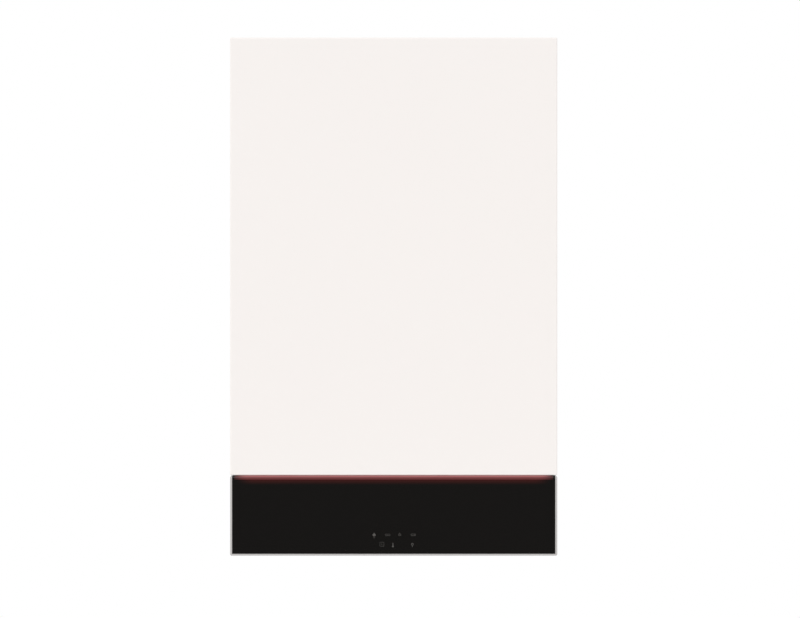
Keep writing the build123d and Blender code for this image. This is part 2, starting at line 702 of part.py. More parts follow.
# ---------------------------------------------------------------- front cover
HOOK_RISE = tan(radians(LIFT_ANGLE))
HOOK_HALF = COVER_HOOK_SHEET / 2 / cos(radians(LIFT_ANGLE))
SLOT_REACH = COVER_BACK - FRAME_FRONT + SHEET / 2
SLOT_BOTTOM = SLOT_REACH * HOOK_RISE - HOOK_HALF - SLOT_PLAY
SLOT_TOP = (SLOT_REACH + SHEET) * HOOK_RISE + HOOK_HALF + CONTACT_GAP / cos(radians(LIFT_ANGLE))
with BuildPart() as front_cover:
    with BuildSketch(Plane.XZ.offset(COVER_BACK)):
        with Locations((0, COVER_MIDDLE)):
            RectangleRounded(CASING_WIDTH, COVER_HEIGHT, BEND)
    extrude(amount=COVER_DEPTH)
    fillet(edges().group_by(Axis.Y)[0], FACE_RADIUS)
    offset(amount=-SHEET, openings=faces().sort_by(Axis.Y)[-1])
    with BuildSketch(Plane.XZ.offset(COVER_BACK)):
        with Locations((0, COVER_MIDDLE)):
            RectangleRounded(CASING_WIDTH, COVER_HEIGHT, BEND)
            Rectangle(CASING_WIDTH - 2 * FLANGE, COVER_HEIGHT - 2 * FLANGE, mode=Mode.SUBTRACT)
        for root in HOOK_ROOTS:
            with Locations((0, root + (SLOT_BOTTOM + SLOT_TOP) / 2)):
                with GridLocations(COVER_HOOK_SPACING, 1, 2, 1):
                    Rectangle(
                        COVER_HOOK_WIDTH + 2 * SLOT_PLAY,
                        SLOT_TOP - SLOT_BOTTOM,
                        mode=Mode.SUBTRACT,
                    )
    extrude(amount=SHEET)
finish(front_cover, "front_cover")

with BuildPart() as cover_insulation:
    with BuildSketch(Plane.XZ.offset(CASING_DEPTH - SHEET - MAT_THICKNESS)):
        with Locations((0, COVER_MIDDLE)):
            mat_margin = SHEET + MAT_MARGIN
            Rectangle(CASING_WIDTH - 2 * mat_margin, COVER_HEIGHT - 2 * mat_margin)
    extrude(amount=MAT_THICKNESS)
    chamfer(edges().filter_by(Axis.Y), MAT_MARGIN)
finish(cover_insulation, "cover_insulation")

# ---------------------------------------------------------------- heat exchanger
HX_LENGTH = HX_FRONT - HX_BACK
with BuildPart() as heat_exchanger_bracket:
    # hat section between the rear frame and the round housing
    hat_half = HX_RADIUS / 2
    hat_points = [
        (HX_X - hat_half - BRACKET_RAIL, -REAR_FACE),
        (HX_X - hat_half, -REAR_FACE),
        (HX_X - hat_half, -HX_BACK),
        (HX_X + hat_half, -HX_BACK),
        (HX_X + hat_half, -REAR_FACE),
        (HX_X + hat_half + BRACKET_RAIL, -REAR_FACE),
    ]
    with BuildSketch(floor_plane(HX_BOTTOM + HX_RADIUS / 4)):
        add(folded(hat_points, Side.LEFT, SHELF_SHEET, SHELF_SHEET + BEND))
    extrude(amount=HX_RADIUS * 1.5)
    # only the part in front of the rear frame and behind the housing
    with BuildSketch(Plane.XZ.offset(REAR_FACE)):
        with Locations((HX_X, level(HX_HEIGHT))):
            Rectangle(2 * HX_RADIUS, 2 * HX_RADIUS)
    extrude(amount=HX_BACK - REAR_FACE, mode=Mode.INTERSECT)
finish(heat_exchanger_bracket, "heat_exchanger_bracket")

STUD_CIRCLE = HX_RADIUS + HX_FLANGE / 2
PORT_TOP = HX_HEIGHT - sqrt((HX_RADIUS - HX_WALL) ** 2 - (WATER_PORT_OFFSET + PORT_COLLAR) ** 2)
PORT_RADIUS = WATER_PIPE_RADIUS + PORT_COLLAR
PORT_PIPE_BORE = WATER_PIPE_RADIUS - WATER_PIPE_WALL
SUMP_TOP = HX_BOTTOM + HX_WALL
# place across, depth, outer radius, bore and upper end of each port
PORT_PLACES = (
    (HX_X - WATER_PORT_OFFSET, FLOW_PORT_DEPTH, PORT_RADIUS, PORT_PIPE_BORE, PORT_TOP),
    (HX_X + WATER_PORT_OFFSET, RETURN_PORT_DEPTH, PORT_RADIUS, PORT_PIPE_BORE, PORT_TOP),
    (HX_X, SUMP_DEPTH, DRAIN_RADIUS + PORT_COLLAR, DRAIN_RADIUS - PIPE_WALL, SUMP_TOP),
)
with BuildPart() as heat_exchanger_housing:
    with BuildSketch(wall_plane(HX_BACK, HX_X, HX_HEIGHT)):
        Circle(HX_RADIUS)
    extrude(amount=HX_LENGTH)
    chamfer(edges().group_by(Axis.Y)[-1], HX_EDGE)
    offset(amount=-HX_WALL, openings=faces().sort_by(Axis.Y)[0])
    with BuildSketch(wall_plane(HX_FRONT - HX_FLANGE_THICKNESS, HX_X, HX_HEIGHT)):
        Circle(HX_RADIUS + HX_FLANGE)
        Circle(HX_RADIUS - HX_WALL, mode=Mode.SUBTRACT)
    extrude(amount=HX_FLANGE_THICKNESS)
    with BuildSketch(wall_plane(HX_FRONT, HX_X, HX_HEIGHT)):
        with PolarLocations(STUD_CIRCLE, STUD_COUNT, 180 / STUD_COUNT):
            Circle(STUD_RADIUS)
    extrude(amount=DOOR_THICKNESS + NUT_THICKNESS + STUD_RADIUS)
    # three bars that carry the coil
    with BuildSketch(wall_plane(HX_BACK + HX_WALL, HX_X, HX_HEIGHT)):
        coil_outside = COIL_RADIUS + COIL_TUBE_DEPTH / 2 + RUNNING_FIT / 2
        bar_height = HX_RADIUS - HX_WALL / 2 - coil_outside
        with PolarLocations(coil_outside + bar_height / 2, COIL_BARS, COIL_BAR_TURN):
            Rectangle(bar_height, COIL_BAR_WIDTH)
    extrude(amount=COIL_PITCH * COIL_TURNS + COIL_TUBE_WIDTH)
    # flue gas outlet at the top, water ports and condensate sump below
    with BuildSketch(floor_plane(HX_HEIGHT, HX_X, FLUE_DEPTH)):
        Circle(FLUE_SEAT_RADIUS)
    extrude(amount=HX_RADIUS, mode=Mode.SUBTRACT)
    for port_x, port_depth, port_radius, port_bore, port_top in PORT_PLACES:
        with BuildSketch(floor_plane(PORT_HEIGHT, port_x, port_depth)):
            Circle(port_radius)
        extrude(amount=port_top - PORT_HEIGHT)
        with BuildSketch(floor_plane(PORT_HEIGHT, port_x, port_depth)):
            Circle(port_bore)
        extrude(amount=PORT_TOP - PORT_HEIGHT, mode=Mode.SUBTRACT)
finish(heat_exchanger_housing, "heat_exchanger_housing")

with BuildPart() as heat_exchanger_coil:
    with BuildLine() as coil_path:
        Helix(
            pitch=COIL_PITCH,
            height=COIL_PITCH * COIL_TURNS,
            radius=COIL_RADIUS,
            center=at(HX_X, COIL_BACK + COIL_TUBE_WIDTH / 2, HX_HEIGHT),
            direction=(0, -1, 0),
        )
    coil_start = coil_path.wire() @ 0
    with BuildSketch(Plane(origin=coil_start, x_dir=(0, 1, 0), z_dir=coil_path.wire() % 0)):
        Rectangle(COIL_TUBE_WIDTH, COIL_TUBE_DEPTH)
    sweep(is_frenet=True)
finish(heat_exchanger_coil, "heat_exchanger_coil")

# ---------------------------------------------------------------- burner door
DOOR_FRONT = HX_FRONT + DOOR_THICKNESS
FAN_HEIGHT = HX_HEIGHT + FAN_RISE
FAN_MIDDLE = FAN_BACK + FAN_WIDTH / 2
DUCT_HALF = FAN_OUTLET / 2
DUCT_X = HX_X
FAN_X = DUCT_X + FAN_OUTER - DUCT_HALF
ELBOW_TOP = FAN_HEIGHT - FAN_FOOT
ELBOW_HALF = DUCT_HALF + FAN_FLANGE
ELBOW_BOTTOM = HX_HEIGHT - ELBOW_HALF + FAN_WALL
INNER_DUCT_HALF = DUCT_HALF - FAN_WALL
with BuildPart() as burner_door:
    with BuildSketch(wall_plane(HX_FRONT, HX_X, HX_HEIGHT)):
        Circle(HX_RADIUS + HX_FLANGE)
        with PolarLocations(STUD_CIRCLE, STUD_COUNT, 180 / STUD_COUNT):
            Circle(STUD_RADIUS + STUD_CLEARANCE, mode=Mode.SUBTRACT)
    extrude(amount=DOOR_THICKNESS)
    # cast elbow from the fan into the burner
    elbow_front = FAN_MIDDLE + DUCT_HALF
    with BuildSketch(side_plane(DUCT_X)):
        with BuildLine():
            FilletPolyline(
                (DOOR_FRONT, level(ELBOW_TOP)),
                (DOOR_FRONT, level(ELBOW_BOTTOM)),
                (elbow_front, level(ELBOW_BOTTOM)),
                (elbow_front, level(ELBOW_TOP)),
                radius=(0, DUCT_HALF),
            )
            Line((elbow_front, level(ELBOW_TOP)), (DOOR_FRONT, level(ELBOW_TOP)))
        make_face()
    extrude(amount=DUCT_HALF, both=True)
    with BuildSketch(floor_plane(ELBOW_TOP - FAN_FLANGE_THICKNESS, DUCT_X, FAN_MIDDLE)):
        Rectangle(2 * ELBOW_HALF, 2 * ELBOW_HALF)
    extrude(amount=FAN_FLANGE_THICKNESS)
    with BuildSketch(side_plane(DUCT_X)):
        with BuildLine():
            duct_roof = ELBOW_TOP - FAN_FLANGE_THICKNESS - FAN_WALL
            FilletPolyline(
                (HX_FRONT, level(duct_roof)),
                (HX_FRONT, level(ELBOW_BOTTOM + FAN_WALL)),
                (elbow_front - FAN_WALL, level(ELBOW_BOTTOM + FAN_WALL)),
                (elbow_front - FAN_WALL, level(ELBOW_TOP)),
                (FAN_MIDDLE - INNER_DUCT_HALF, level(ELBOW_TOP)),
                (FAN_MIDDLE - INNER_DUCT_HALF, level(duct_roof)),
                radius=(0, INNER_DUCT_HALF, 0, 0),
            )
            Line((FAN_MIDDLE - INNER_DUCT_HALF, level(duct_roof)), (HX_FRONT, level(duct_roof)))
        make_face()
    extrude(amount=INNER_DUCT_HALF, both=True, mode=Mode.SUBTRACT)
    with BuildSketch(wall_plane(HX_FRONT, HX_X, HX_HEIGHT - ELECTRODE_DROP)):
        with GridLocations(ELECTRODE_SPACING, 1, 2, 1):
            Circle(ELECTRODE_RADIUS + RUNNING_FIT)
    extrude(amount=DOOR_THICKNESS, mode=Mode.SUBTRACT)
finish(burner_door, "burner_door")

with BuildPart() as door_insulation:
    with BuildSketch(wall_plane(HX_FRONT - DOOR_INSULATION, HX_X, HX_HEIGHT)):
        Circle(HX_RADIUS - HX_WALL - CONTACT_GAP)
        Circle(BURNER_RADIUS + BURNER_WALL, mode=Mode.SUBTRACT)
        with Locations((0, -ELECTRODE_DROP)):
            with GridLocations(ELECTRODE_SPACING, 1, 2, 1):
                Circle(ELECTRODE_RADIUS + RUNNING_FIT, mode=Mode.SUBTRACT)
    extrude(amount=DOOR_INSULATION)
finish(door_insulation, "door_insulation")

with BuildPart() as burner_cylinder:
    with BuildSketch(wall_plane(HX_FRONT - BURNER_LENGTH, HX_X, HX_HEIGHT)):
        Circle(BURNER_RADIUS)
    extrude(amount=BURNER_LENGTH)
    offset(amount=-BURNER_WALL, openings=faces().sort_by(Axis.Y)[0])
finish(burner_cylinder, "burner_cylinder")

with BuildPart() as electrodes:
    with BuildSketch(wall_plane(DOOR_FRONT - ELECTRODE_LENGTH, HX_X, HX_HEIGHT - ELECTRODE_DROP)):
        with GridLocations(ELECTRODE_SPACING, 1, 2, 1):
            Circle(ELECTRODE_RADIUS)
    extrude(amount=ELECTRODE_LENGTH + FAN_WALL)
    with BuildSketch(wall_plane(DOOR_FRONT, HX_X, HX_HEIGHT - ELECTRODE_DROP)):
        with GridLocations(ELECTRODE_SPACING, 1, 2, 1):
            Circle(ELECTRODE_COLLAR)
    extrude(amount=FAN_WALL)
    with BuildSketch(wall_plane(DOOR_FRONT + FAN_WALL, HX_X, HX_HEIGHT - ELECTRODE_DROP)):
        with GridLocations(ELECTRODE_SPACING, 1, 2, 1):
            Circle(ELECTRODE_CAP)
    extrude(amount=ELECTRODE_SPACING / 2)
finish(electrodes, "electrodes")

with BuildPart() as door_nuts:
    with BuildSketch(wall_plane(DOOR_FRONT, HX_X, HX_HEIGHT)):
        with PolarLocations(STUD_CIRCLE, STUD_COUNT, 180 / STUD_COUNT):
            RegularPolygon(NUT_WIDTH / 2, 6, major_radius=False)
            Circle(STUD_RADIUS, mode=Mode.SUBTRACT)
    extrude(amount=NUT_THICKNESS)
finish(door_nuts, "door_nuts")

# ---------------------------------------------------------------- fan
TONGUE_X = FAN_OUTLET - FAN_OUTER
TONGUE_Z = -sqrt(FAN_INNER**2 - TONGUE_X**2)
TONGUE_ANGLE = 180 + degrees(asin(-TONGUE_Z / FAN_INNER))


def volute_point(turn):
    """A point on the volute's spiral: turn runs from 0 at the tongue to 1 at the outlet."""
    angle = radians(TONGUE_ANGLE + turn * (540 - TONGUE_ANGLE))
    radius = FAN_INNER + turn * (FAN_OUTER - FAN_INNER)
    return (radius * cos(angle), radius * sin(angle))


with BuildSketch() as volute:
    with BuildLine():
        for n in range(VOLUTE_ARCS):
            ThreePointArc(
                volute_point(n / VOLUTE_ARCS),
                volute_point((n + 0.5) / VOLUTE_ARCS),
                volute_point((n + 1) / VOLUTE_ARCS),
            )
        Polyline(
            volute_point(1),
            (-FAN_OUTER, -FAN_FOOT),
            (TONGUE_X, -FAN_FOOT),
            volute_point(0),
        )
    make_face()

with BuildSketch() as volute_inside:
    add(volute.sketch)
    offset(amount=-FAN_WALL, mode=Mode.REPLACE)
    with Locations((TONGUE_X - DUCT_HALF, -FAN_FOOT + FAN_WALL)):
        Rectangle(2 * INNER_DUCT_HALF, 2 * FAN_WALL)

with BuildPart() as fan_housing:
    with BuildSketch(wall_plane(FAN_BACK, FAN_X, FAN_HEIGHT)):
        add(volute.sketch)
    extrude(amount=FAN_WIDTH)
    with BuildSketch(floor_plane(ELBOW_TOP, DUCT_X, FAN_MIDDLE)):
        Rectangle(2 * ELBOW_HALF, 2 * ELBOW_HALF)
    extrude(amount=FAN_FLANGE_THICKNESS)
    with BuildSketch(wall_plane(FAN_BACK + FAN_WALL, FAN_X, FAN_HEIGHT)):
        add(volute_inside.sketch)
    extrude(amount=FAN_WIDTH - 2 * FAN_WALL, mode=Mode.SUBTRACT)
    with BuildSketch(wall_plane(FAN_MIDDLE, FAN_X, FAN_HEIGHT)):
        Circle(EYE_RADIUS)
    extrude(amount=FAN_WIDTH / 2, mode=Mode.SUBTRACT)
    with BuildSketch(wall_plane(FAN_BACK, FAN_X, FAN_HEIGHT)):
        Circle(SHAFT_RADIUS + STUD_CLEARANCE)
    extrude(amount=FAN_WALL, mode=Mode.SUBTRACT)
finish(fan_housing, "fan_housing")

SHAFT_LENGTH = MOTOR_LENGTH - FAN_WALL
IMPELLER_BACK = FAN_BACK + FAN_WALL + IMPELLER_GAP
BLADE_ROOT = EYE_RADIUS - BLADE_THICKNESS


def blade_point(share):
    """A point on a backward-curved blade: share runs from 0 at its root to 1 at its tip."""
    radius = BLADE_ROOT + share * (IMPELLER_RADIUS - BLADE_ROOT)
    lean = -radians(BLADE_SWEEP) * share**1.5
    return (radius * cos(lean), radius * sin(lean))


with BuildSketch() as blade:
    with BuildLine():
        ThreePointArc(blade_point(0), blade_point(0.5), blade_point(1))
        offset(amount=BLADE_THICKNESS, side=Side.LEFT, closed=True)
    make_face()

with BuildPart() as fan_impeller:
    with BuildSketch(wall_plane(IMPELLER_BACK, FAN_X, FAN_HEIGHT)):
        Circle(IMPELLER_RADIUS)
    extrude(amount=IMPELLER_PLATE)
    with BuildSketch(wall_plane(IMPELLER_BACK, FAN_X, FAN_HEIGHT)):
        Circle(HUB_RADIUS)
    extrude(amount=IMPELLER_WIDTH / 2)
    with BuildSketch(wall_plane(FAN_BACK - SHAFT_LENGTH, FAN_X, FAN_HEIGHT)):
        Circle(SHAFT_RADIUS)
    extrude(amount=SHAFT_LENGTH + FAN_WALL + IMPELLER_GAP)
    with BuildSketch(wall_plane(IMPELLER_BACK, FAN_X, FAN_HEIGHT)):
        with PolarLocations(0, BLADE_COUNT):
            add(blade.sketch)
    extrude(amount=IMPELLER_WIDTH)
    # front ring that ties the blade tips together
    with BuildSketch(wall_plane(IMPELLER_BACK + IMPELLER_WIDTH, FAN_X, FAN_HEIGHT)):
        Circle(IMPELLER_RADIUS)
        Circle(EYE_RADIUS, mode=Mode.SUBTRACT)
    extrude(amount=-IMPELLER_PLATE)
finish(fan_impeller, "fan_impeller")

with BuildPart() as fan_motor:
    with BuildSketch(wall_plane(FAN_BACK - MOTOR_LENGTH, FAN_X, FAN_HEIGHT)):
        Circle(MOTOR_RADIUS)
    extrude(amount=MOTOR_LENGTH)
    chamfer(edges().group_by(Axis.Y)[-1], BLOCK_RADIUS)
    with BuildSketch(wall_plane(FAN_BACK - MOTOR_LENGTH / 2, FAN_X + MOTOR_RADIUS, FAN_HEIGHT)):
        Rectangle(MOTOR_LENGTH / 2, MOTOR_RADIUS)
    extrude(amount=MOTOR_LENGTH / 2)
    with BuildSketch(wall_plane(FAN_BACK, FAN_X, FAN_HEIGHT)):
        Circle(SHAFT_RADIUS + RUNNING_FIT)
    extrude(amount=-SHAFT_LENGTH - CONTACT_GAP, mode=Mode.SUBTRACT)
finish(fan_motor, "fan_motor")

# ---------------------------------------------------------------- gas and air
MIXER_MIDDLE = FAN_FRONT + MIXER_LENGTH / 2
INTAKE_BORE = INTAKE_RADIUS - INTAKE_WALL
MIXER_BOSS = MIXER_RADIUS + MIXER_SPOUT
with BuildPart() as gas_air_mixer:
    with BuildSketch(side_plane(FAN_X)):
        with BuildLine():
            fan_axis_z = level(FAN_HEIGHT)
            Polyline(
                (MIXER_FRONT, fan_axis_z + INTAKE_BORE - PIPE_WALL),
                (MIXER_FRONT, fan_axis_z + MIXER_RADIUS),
                (FAN_FRONT, fan_axis_z + MIXER_RADIUS),
                (FAN_FRONT, fan_axis_z + EYE_RADIUS),
            )
            Polyline(
                (FAN_FRONT, fan_axis_z + EYE_RADIUS),
                (MIXER_MIDDLE, fan_axis_z + MIXER_THROAT),
                (MIXER_FRONT, fan_axis_z + INTAKE_BORE - PIPE_WALL),
            )
        make_face()
    revolve(axis=Axis(at(FAN_X, 0, FAN_HEIGHT), (0, -1, 0)))
    with BuildSketch(cross_plane(FAN_X - MIXER_BOSS, MIXER_MIDDLE, FAN_HEIGHT)):
        Circle(MIXER_PIPE_RADIUS * 2)
    extrude(amount=MIXER_BOSS - MIXER_THROAT - 2 * FAN_WALL)
    with BuildSketch(cross_plane(FAN_X - MIXER_BOSS, MIXER_MIDDLE, FAN_HEIGHT)):
        Circle(MIXER_PIPE_RADIUS - PIPE_WALL)
    extrude(amount=MIXER_BOSS, mode=Mode.SUBTRACT)
finish(gas_air_mixer, "gas_air_mixer")

with BuildPart() as intake_pipe:
    intake_points = (
        at(FAN_X, MIXER_FRONT, FAN_HEIGHT),
        at(FAN_X, INTAKE_DEPTH, FAN_HEIGHT),
        at(FAN_X, INTAKE_DEPTH, CASING_HEIGHT - INTAKE_DROP),
    )
    add(tube(intake_points, INTAKE_RADIUS, INTAKE_BEND - PIPE_WALL, INTAKE_BORE))
finish(intake_pipe, "intake_pipe")

GAS_VALVE_TOP = GAS_VALVE_BASE + GAS_VALVE_HEIGHT
GAS_RISER_X = GAS_VALVE_X + GAS_RISER_OFFSET
GAS_RUN_DEPTH = TRAY_DEPTH - GAS_RUN_TO_BAY - GAS_PIPE_RADIUS
with BuildPart() as gas_valve:
    gas_valve_middle = (GAS_VALVE_BASE + GAS_VALVE_TOP) / 2
    with BuildSketch(floor_plane(GAS_VALVE_BASE + PORT_STEP, GAS_VALVE_X, MIXER_MIDDLE)):
        RectangleRounded(GAS_VALVE_WIDTH, GAS_VALVE_DEPTH, BLOCK_RADIUS)
    extrude(amount=GAS_VALVE_HEIGHT - 2 * PORT_STEP)
    with BuildSketch(floor_plane(GAS_VALVE_BASE, GAS_VALVE_X, MIXER_MIDDLE)):
        Circle(2 * GAS_PIPE_RADIUS)
    extrude(amount=GAS_VALVE_HEIGHT)
    with BuildSketch(cross_plane(GAS_VALVE_X - GAS_VALVE_WIDTH / 2, MIXER_MIDDLE, gas_valve_middle)):
        with GridLocations(1, SOLENOID_SPACING, 1, 2):
            Circle(SOLENOID_RADIUS)
    extrude(amount=-SOLENOID_LENGTH)
    # throttle and offset screw caps on the right side
    with BuildSketch(cross_plane(GAS_VALVE_X + GAS_VALVE_WIDTH / 2, MIXER_MIDDLE, gas_valve_middle)):
        with GridLocations(1, SOLENOID_SPACING, 1, 2):
            Circle(BLOCK_RADIUS)
    extrude(amount=BLOCK_RADIUS / 2)
finish(gas_valve, "gas_valve")

with BuildPart() as gas_supply_pipe:
    supply_points = (
        at(0, STUB_DEPTH, STUB_END),
        at(0, STUB_DEPTH, GAS_RUN_HEIGHT),
        at(0, GAS_RUN_DEPTH, GAS_RUN_HEIGHT),
        at(GAS_RISER_X, GAS_RUN_DEPTH, GAS_RUN_HEIGHT),
        at(GAS_RISER_X, GAS_RUN_DEPTH, GAS_VALVE_BASE - 3 * SOLENOID_LENGTH),
        at(GAS_VALVE_X, MIXER_MIDDLE, GAS_VALVE_BASE - SOLENOID_LENGTH),
        at(GAS_VALVE_X, MIXER_MIDDLE, GAS_VALVE_BASE),
    )
    add(tube(supply_points, GAS_PIPE_RADIUS))
    add(stub_bore(0, STUB_DEPTH, GAS_PIPE_RADIUS), mode=Mode.SUBTRACT)
finish(gas_supply_pipe, "gas_supply_pipe")

with BuildPart() as gas_mixer_pipe:
    mixer_points = (
        at(GAS_VALVE_X, MIXER_MIDDLE, GAS_VALVE_TOP),
        at(GAS_VALVE_X, MIXER_MIDDLE, FAN_HEIGHT),
        at(FAN_X - MIXER_BOSS, MIXER_MIDDLE, FAN_HEIGHT),
    )
    add(tube(mixer_points, MIXER_PIPE_RADIUS))
finish(gas_mixer_pipe, "gas_mixer_pipe")

# ---------------------------------------------------------------- flue
FLUE_RADIUS = FLUE_SEAT_RADIUS - FLUE_FIT
SOCKET_BASE = CASING_HEIGHT - AIR_SEAT_LENGTH - SOCKET_WALL
FLUE_STOP = CASING_HEIGHT - FLUE_SEAT_INSET - FLUE_SEAT_LENGTH
OUTLET_TOP = FLUE_STOP - SOCKET_WALL - CONTACT_GAP
with BuildPart() as flue_outlet:
    with BuildSketch(floor_plane(HX_HEIGHT + HX_RADIUS - HX_EDGE, HX_X, FLUE_DEPTH)):
        Circle(FLUE_RADIUS)
    extrude(amount=OUTLET_TOP - (HX_HEIGHT + HX_RADIUS - HX_EDGE))
    with BuildSketch(floor_plane(HX_HEIGHT + HX_RADIUS, HX_X, FLUE_DEPTH)):
        Circle(FLUE_RADIUS + SOCKET_FLANGE)
    extrude(amount=HX_FLANGE_THICKNESS)
    with BuildSketch(floor_plane(HX_HEIGHT + HX_RADIUS / 2, HX_X, FLUE_DEPTH)):
        Circle(FLUE_RADIUS - PIPE_WALL)
    extrude(amount=OUTLET_TOP - HX_HEIGHT, mode=Mode.SUBTRACT)
finish(flue_outlet, "flue_outlet")

FLUE_SOCKET_RADIUS = FLUE_SEAT_RADIUS + SOCKET_WALL
with BuildPart() as flue_socket:
    with BuildSketch(floor_plane(SOCKET_BASE, HX_X, FLUE_DEPTH)):
        Circle(SOCKET_RADIUS)
        Circle(AIR_SEAT_RADIUS, mode=Mode.SUBTRACT)
    extrude(amount=CASING_HEIGHT - SOCKET_BASE)
    with BuildSketch(floor_plane(CASING_HEIGHT - SHEET, HX_X, FLUE_DEPTH)):
        Circle(SOCKET_RADIUS + SOCKET_FLANGE)
        Circle(AIR_SEAT_RADIUS, mode=Mode.SUBTRACT)
    extrude(amount=-SOCKET_WALL)
    # inner seat with a stop ring, on four webs
    with BuildSketch(floor_plane(OUTLET_TOP - OUTLET_SEAT, HX_X, FLUE_DEPTH)):
        Circle(FLUE_SOCKET_RADIUS)
        Circle(FLUE_SEAT_RADIUS, mode=Mode.SUBTRACT)
    extrude(amount=CASING_HEIGHT - FLUE_SEAT_INSET - OUTLET_TOP + OUTLET_SEAT)
    with BuildSketch(floor_plane(FLUE_STOP - SOCKET_WALL, HX_X, FLUE_DEPTH)):
        Circle(FLUE_SOCKET_RADIUS)
        Circle(FLUE_RADIUS - PIPE_WALL, mode=Mode.SUBTRACT)
    extrude(amount=SOCKET_WALL)
    with BuildSketch(floor_plane(SOCKET_BASE, HX_X, FLUE_DEPTH)):
        with PolarLocations(0, 2, angular_range=180):
            Rectangle(2 * SOCKET_RADIUS - SOCKET_WALL, SOCKET_WALL)
        Circle(FLUE_SEAT_RADIUS + SOCKET_WALL / 2, mode=Mode.SUBTRACT)
    extrude(amount=-SOCKET_WALL)
    with BuildSketch(floor_plane(SOCKET_BASE, HX_X, FLUE_DEPTH)):
        Circle(SOCKET_RADIUS)
        Circle(AIR_SEAT_RADIUS - SOCKET_WALL, mode=Mode.SUBTRACT)
    extrude(amount=-SOCKET_WALL)
finish(flue_socket, "flue_socket")

# ---------------------------------------------------------------- condensate
HOSE_TOP = PORT_HEIGHT - HOSE_DROP
with BuildPart() as condensate_hose:
    hose_points = (
        at(HX_X, SUMP_DEPTH, PORT_HEIGHT),
        at(HX_X, SUMP_DEPTH, HOSE_TOP + 3 * TRAP_RADIUS),
        at(TRAP_X, TRAP_DEPTH, HOSE_TOP),
        at(TRAP_X, TRAP_DEPTH, TRAP_TOP + TRAP_FLANGE),
    )
    add(tube(hose_points, DRAIN_RADIUS, 3 * DRAIN_RADIUS))
finish(condensate_hose, "condensate_hose")

with BuildPart() as condensate_trap:
    with BuildSketch(floor_plane(TRAP_FOOT, TRAP_X, TRAP_DEPTH)):
        Circle(TRAP_RADIUS)
    extrude(amount=TRAP_TOP - TRAP_FOOT)
    chamfer(edges().group_by(Axis.Z)[-1], BLOCK_RADIUS)
    with BuildSketch(floor_plane(TRAP_FOOT, TRAP_X, TRAP_DEPTH)):
        Circle(TRAP_RADIUS - TRAP_WALL)
    extrude(amount=TRAP_TOP - TRAP_FOOT - TRAP_WALL, mode=Mode.SUBTRACT)
    with BuildSketch(floor_plane(TRAY_HEIGHT, TRAP_X, TRAP_DEPTH)):
        Circle(TRAP_RADIUS + TRAP_FLANGE)
        Circle(TRAP_RADIUS - TRAP_WALL, mode=Mode.SUBTRACT)
    extrude(amount=TRAP_WALL)
    # inlet neck with its dip tube, and the drain that leaves on the right
    with BuildSketch(floor_plane(TRAP_FOOT, TRAP_X, TRAP_DEPTH)):
        Circle(DRAIN_RADIUS + PIPE_WALL)
    extrude(amount=TRAP_TOP + TRAP_FLANGE - TRAP_FOOT)
    drain_height = (TRAY_HEIGHT + TRAP_TOP) / 2
    drain_points = (
        at(TRAP_X + TRAP_RADIUS - TRAP_WALL, TRAP_DEPTH, drain_height),
        at(DRAIN_X, TRAP_DEPTH, drain_height),
        at(DRAIN_X, TRAP_DEPTH, STUB_END),
    )
    add(tube(drain_points, DRAIN_RADIUS, DRAIN_RADIUS + PIPE_WALL))
    add(stub_bore(DRAIN_X, TRAP_DEPTH, DRAIN_RADIUS), mode=Mode.SUBTRACT)
    with BuildSketch(floor_plane(TRAP_FOOT, TRAP_X, TRAP_DEPTH)):
        Circle(DRAIN_RADIUS - PIPE_WALL)
    extrude(amount=TRAP_TOP + TRAP_FLANGE - TRAP_FOOT, mode=Mode.SUBTRACT)
finish(condensate_trap, "condensate_trap")

with BuildPart() as trap_cup:
    with BuildSketch(floor_plane(CUP_BASE, TRAP_X, TRAP_DEPTH)):
        Circle(CUP_RADIUS)
    extrude(amount=CUP_RIM - CUP_BASE)
    chamfer(edges().group_by(Axis.Z)[0], CUP_WALL)
    with BuildSketch(floor_plane(CUP_BASE + CUP_WALL, TRAP_X, TRAP_DEPTH)):
        Circle(TRAP_RADIUS + CUP_FIT)
    extrude(amount=CUP_RIM - CUP_BASE, mode=Mode.SUBTRACT)
    # grip ribs round the outside
    with BuildSketch(floor_plane(CUP_BASE + 2 * CUP_WALL, TRAP_X, TRAP_DEPTH)):
        with PolarLocations(CUP_RADIUS, CUP_RIBS):
            Rectangle(CUP_WALL, 2 * CUP_WALL)
        Circle(CUP_RADIUS - CUP_WALL / 2, mode=Mode.SUBTRACT)
    extrude(amount=CUP_RIM - CUP_BASE - 6 * CUP_WALL)
finish(trap_cup, "trap_cup")


# ---------------------------------------------------------------- expansion vessel
VESSEL_MIDDLE = VESSEL_BASE + VESSEL_HEIGHT / 2
VESSEL_DEPTH = REAR_FACE + VESSEL_THICKNESS / 2
VESSEL_PORT_X = VESSEL_X + VESSEL_WIDTH / 3


def vessel_shape(grow):
    """The flat vessel with its sloping edges, larger or smaller all round by an amount."""
    width = VESSEL_WIDTH + 2 * grow
    height = VESSEL_HEIGHT + 2 * grow
    with BuildPart() as body:
        with BuildSketch(wall_plane(REAR_FACE - grow, VESSEL_X, VESSEL_MIDDLE)):
            RectangleRounded(width, height, VESSEL_CORNER + grow)
        extrude(amount=VESSEL_THICKNESS + 2 * grow)
        chamfer(edges().group_by(Axis.Y)[0] + edges().group_by(Axis.Y)[-1], VESSEL_EDGE)
    return body.part


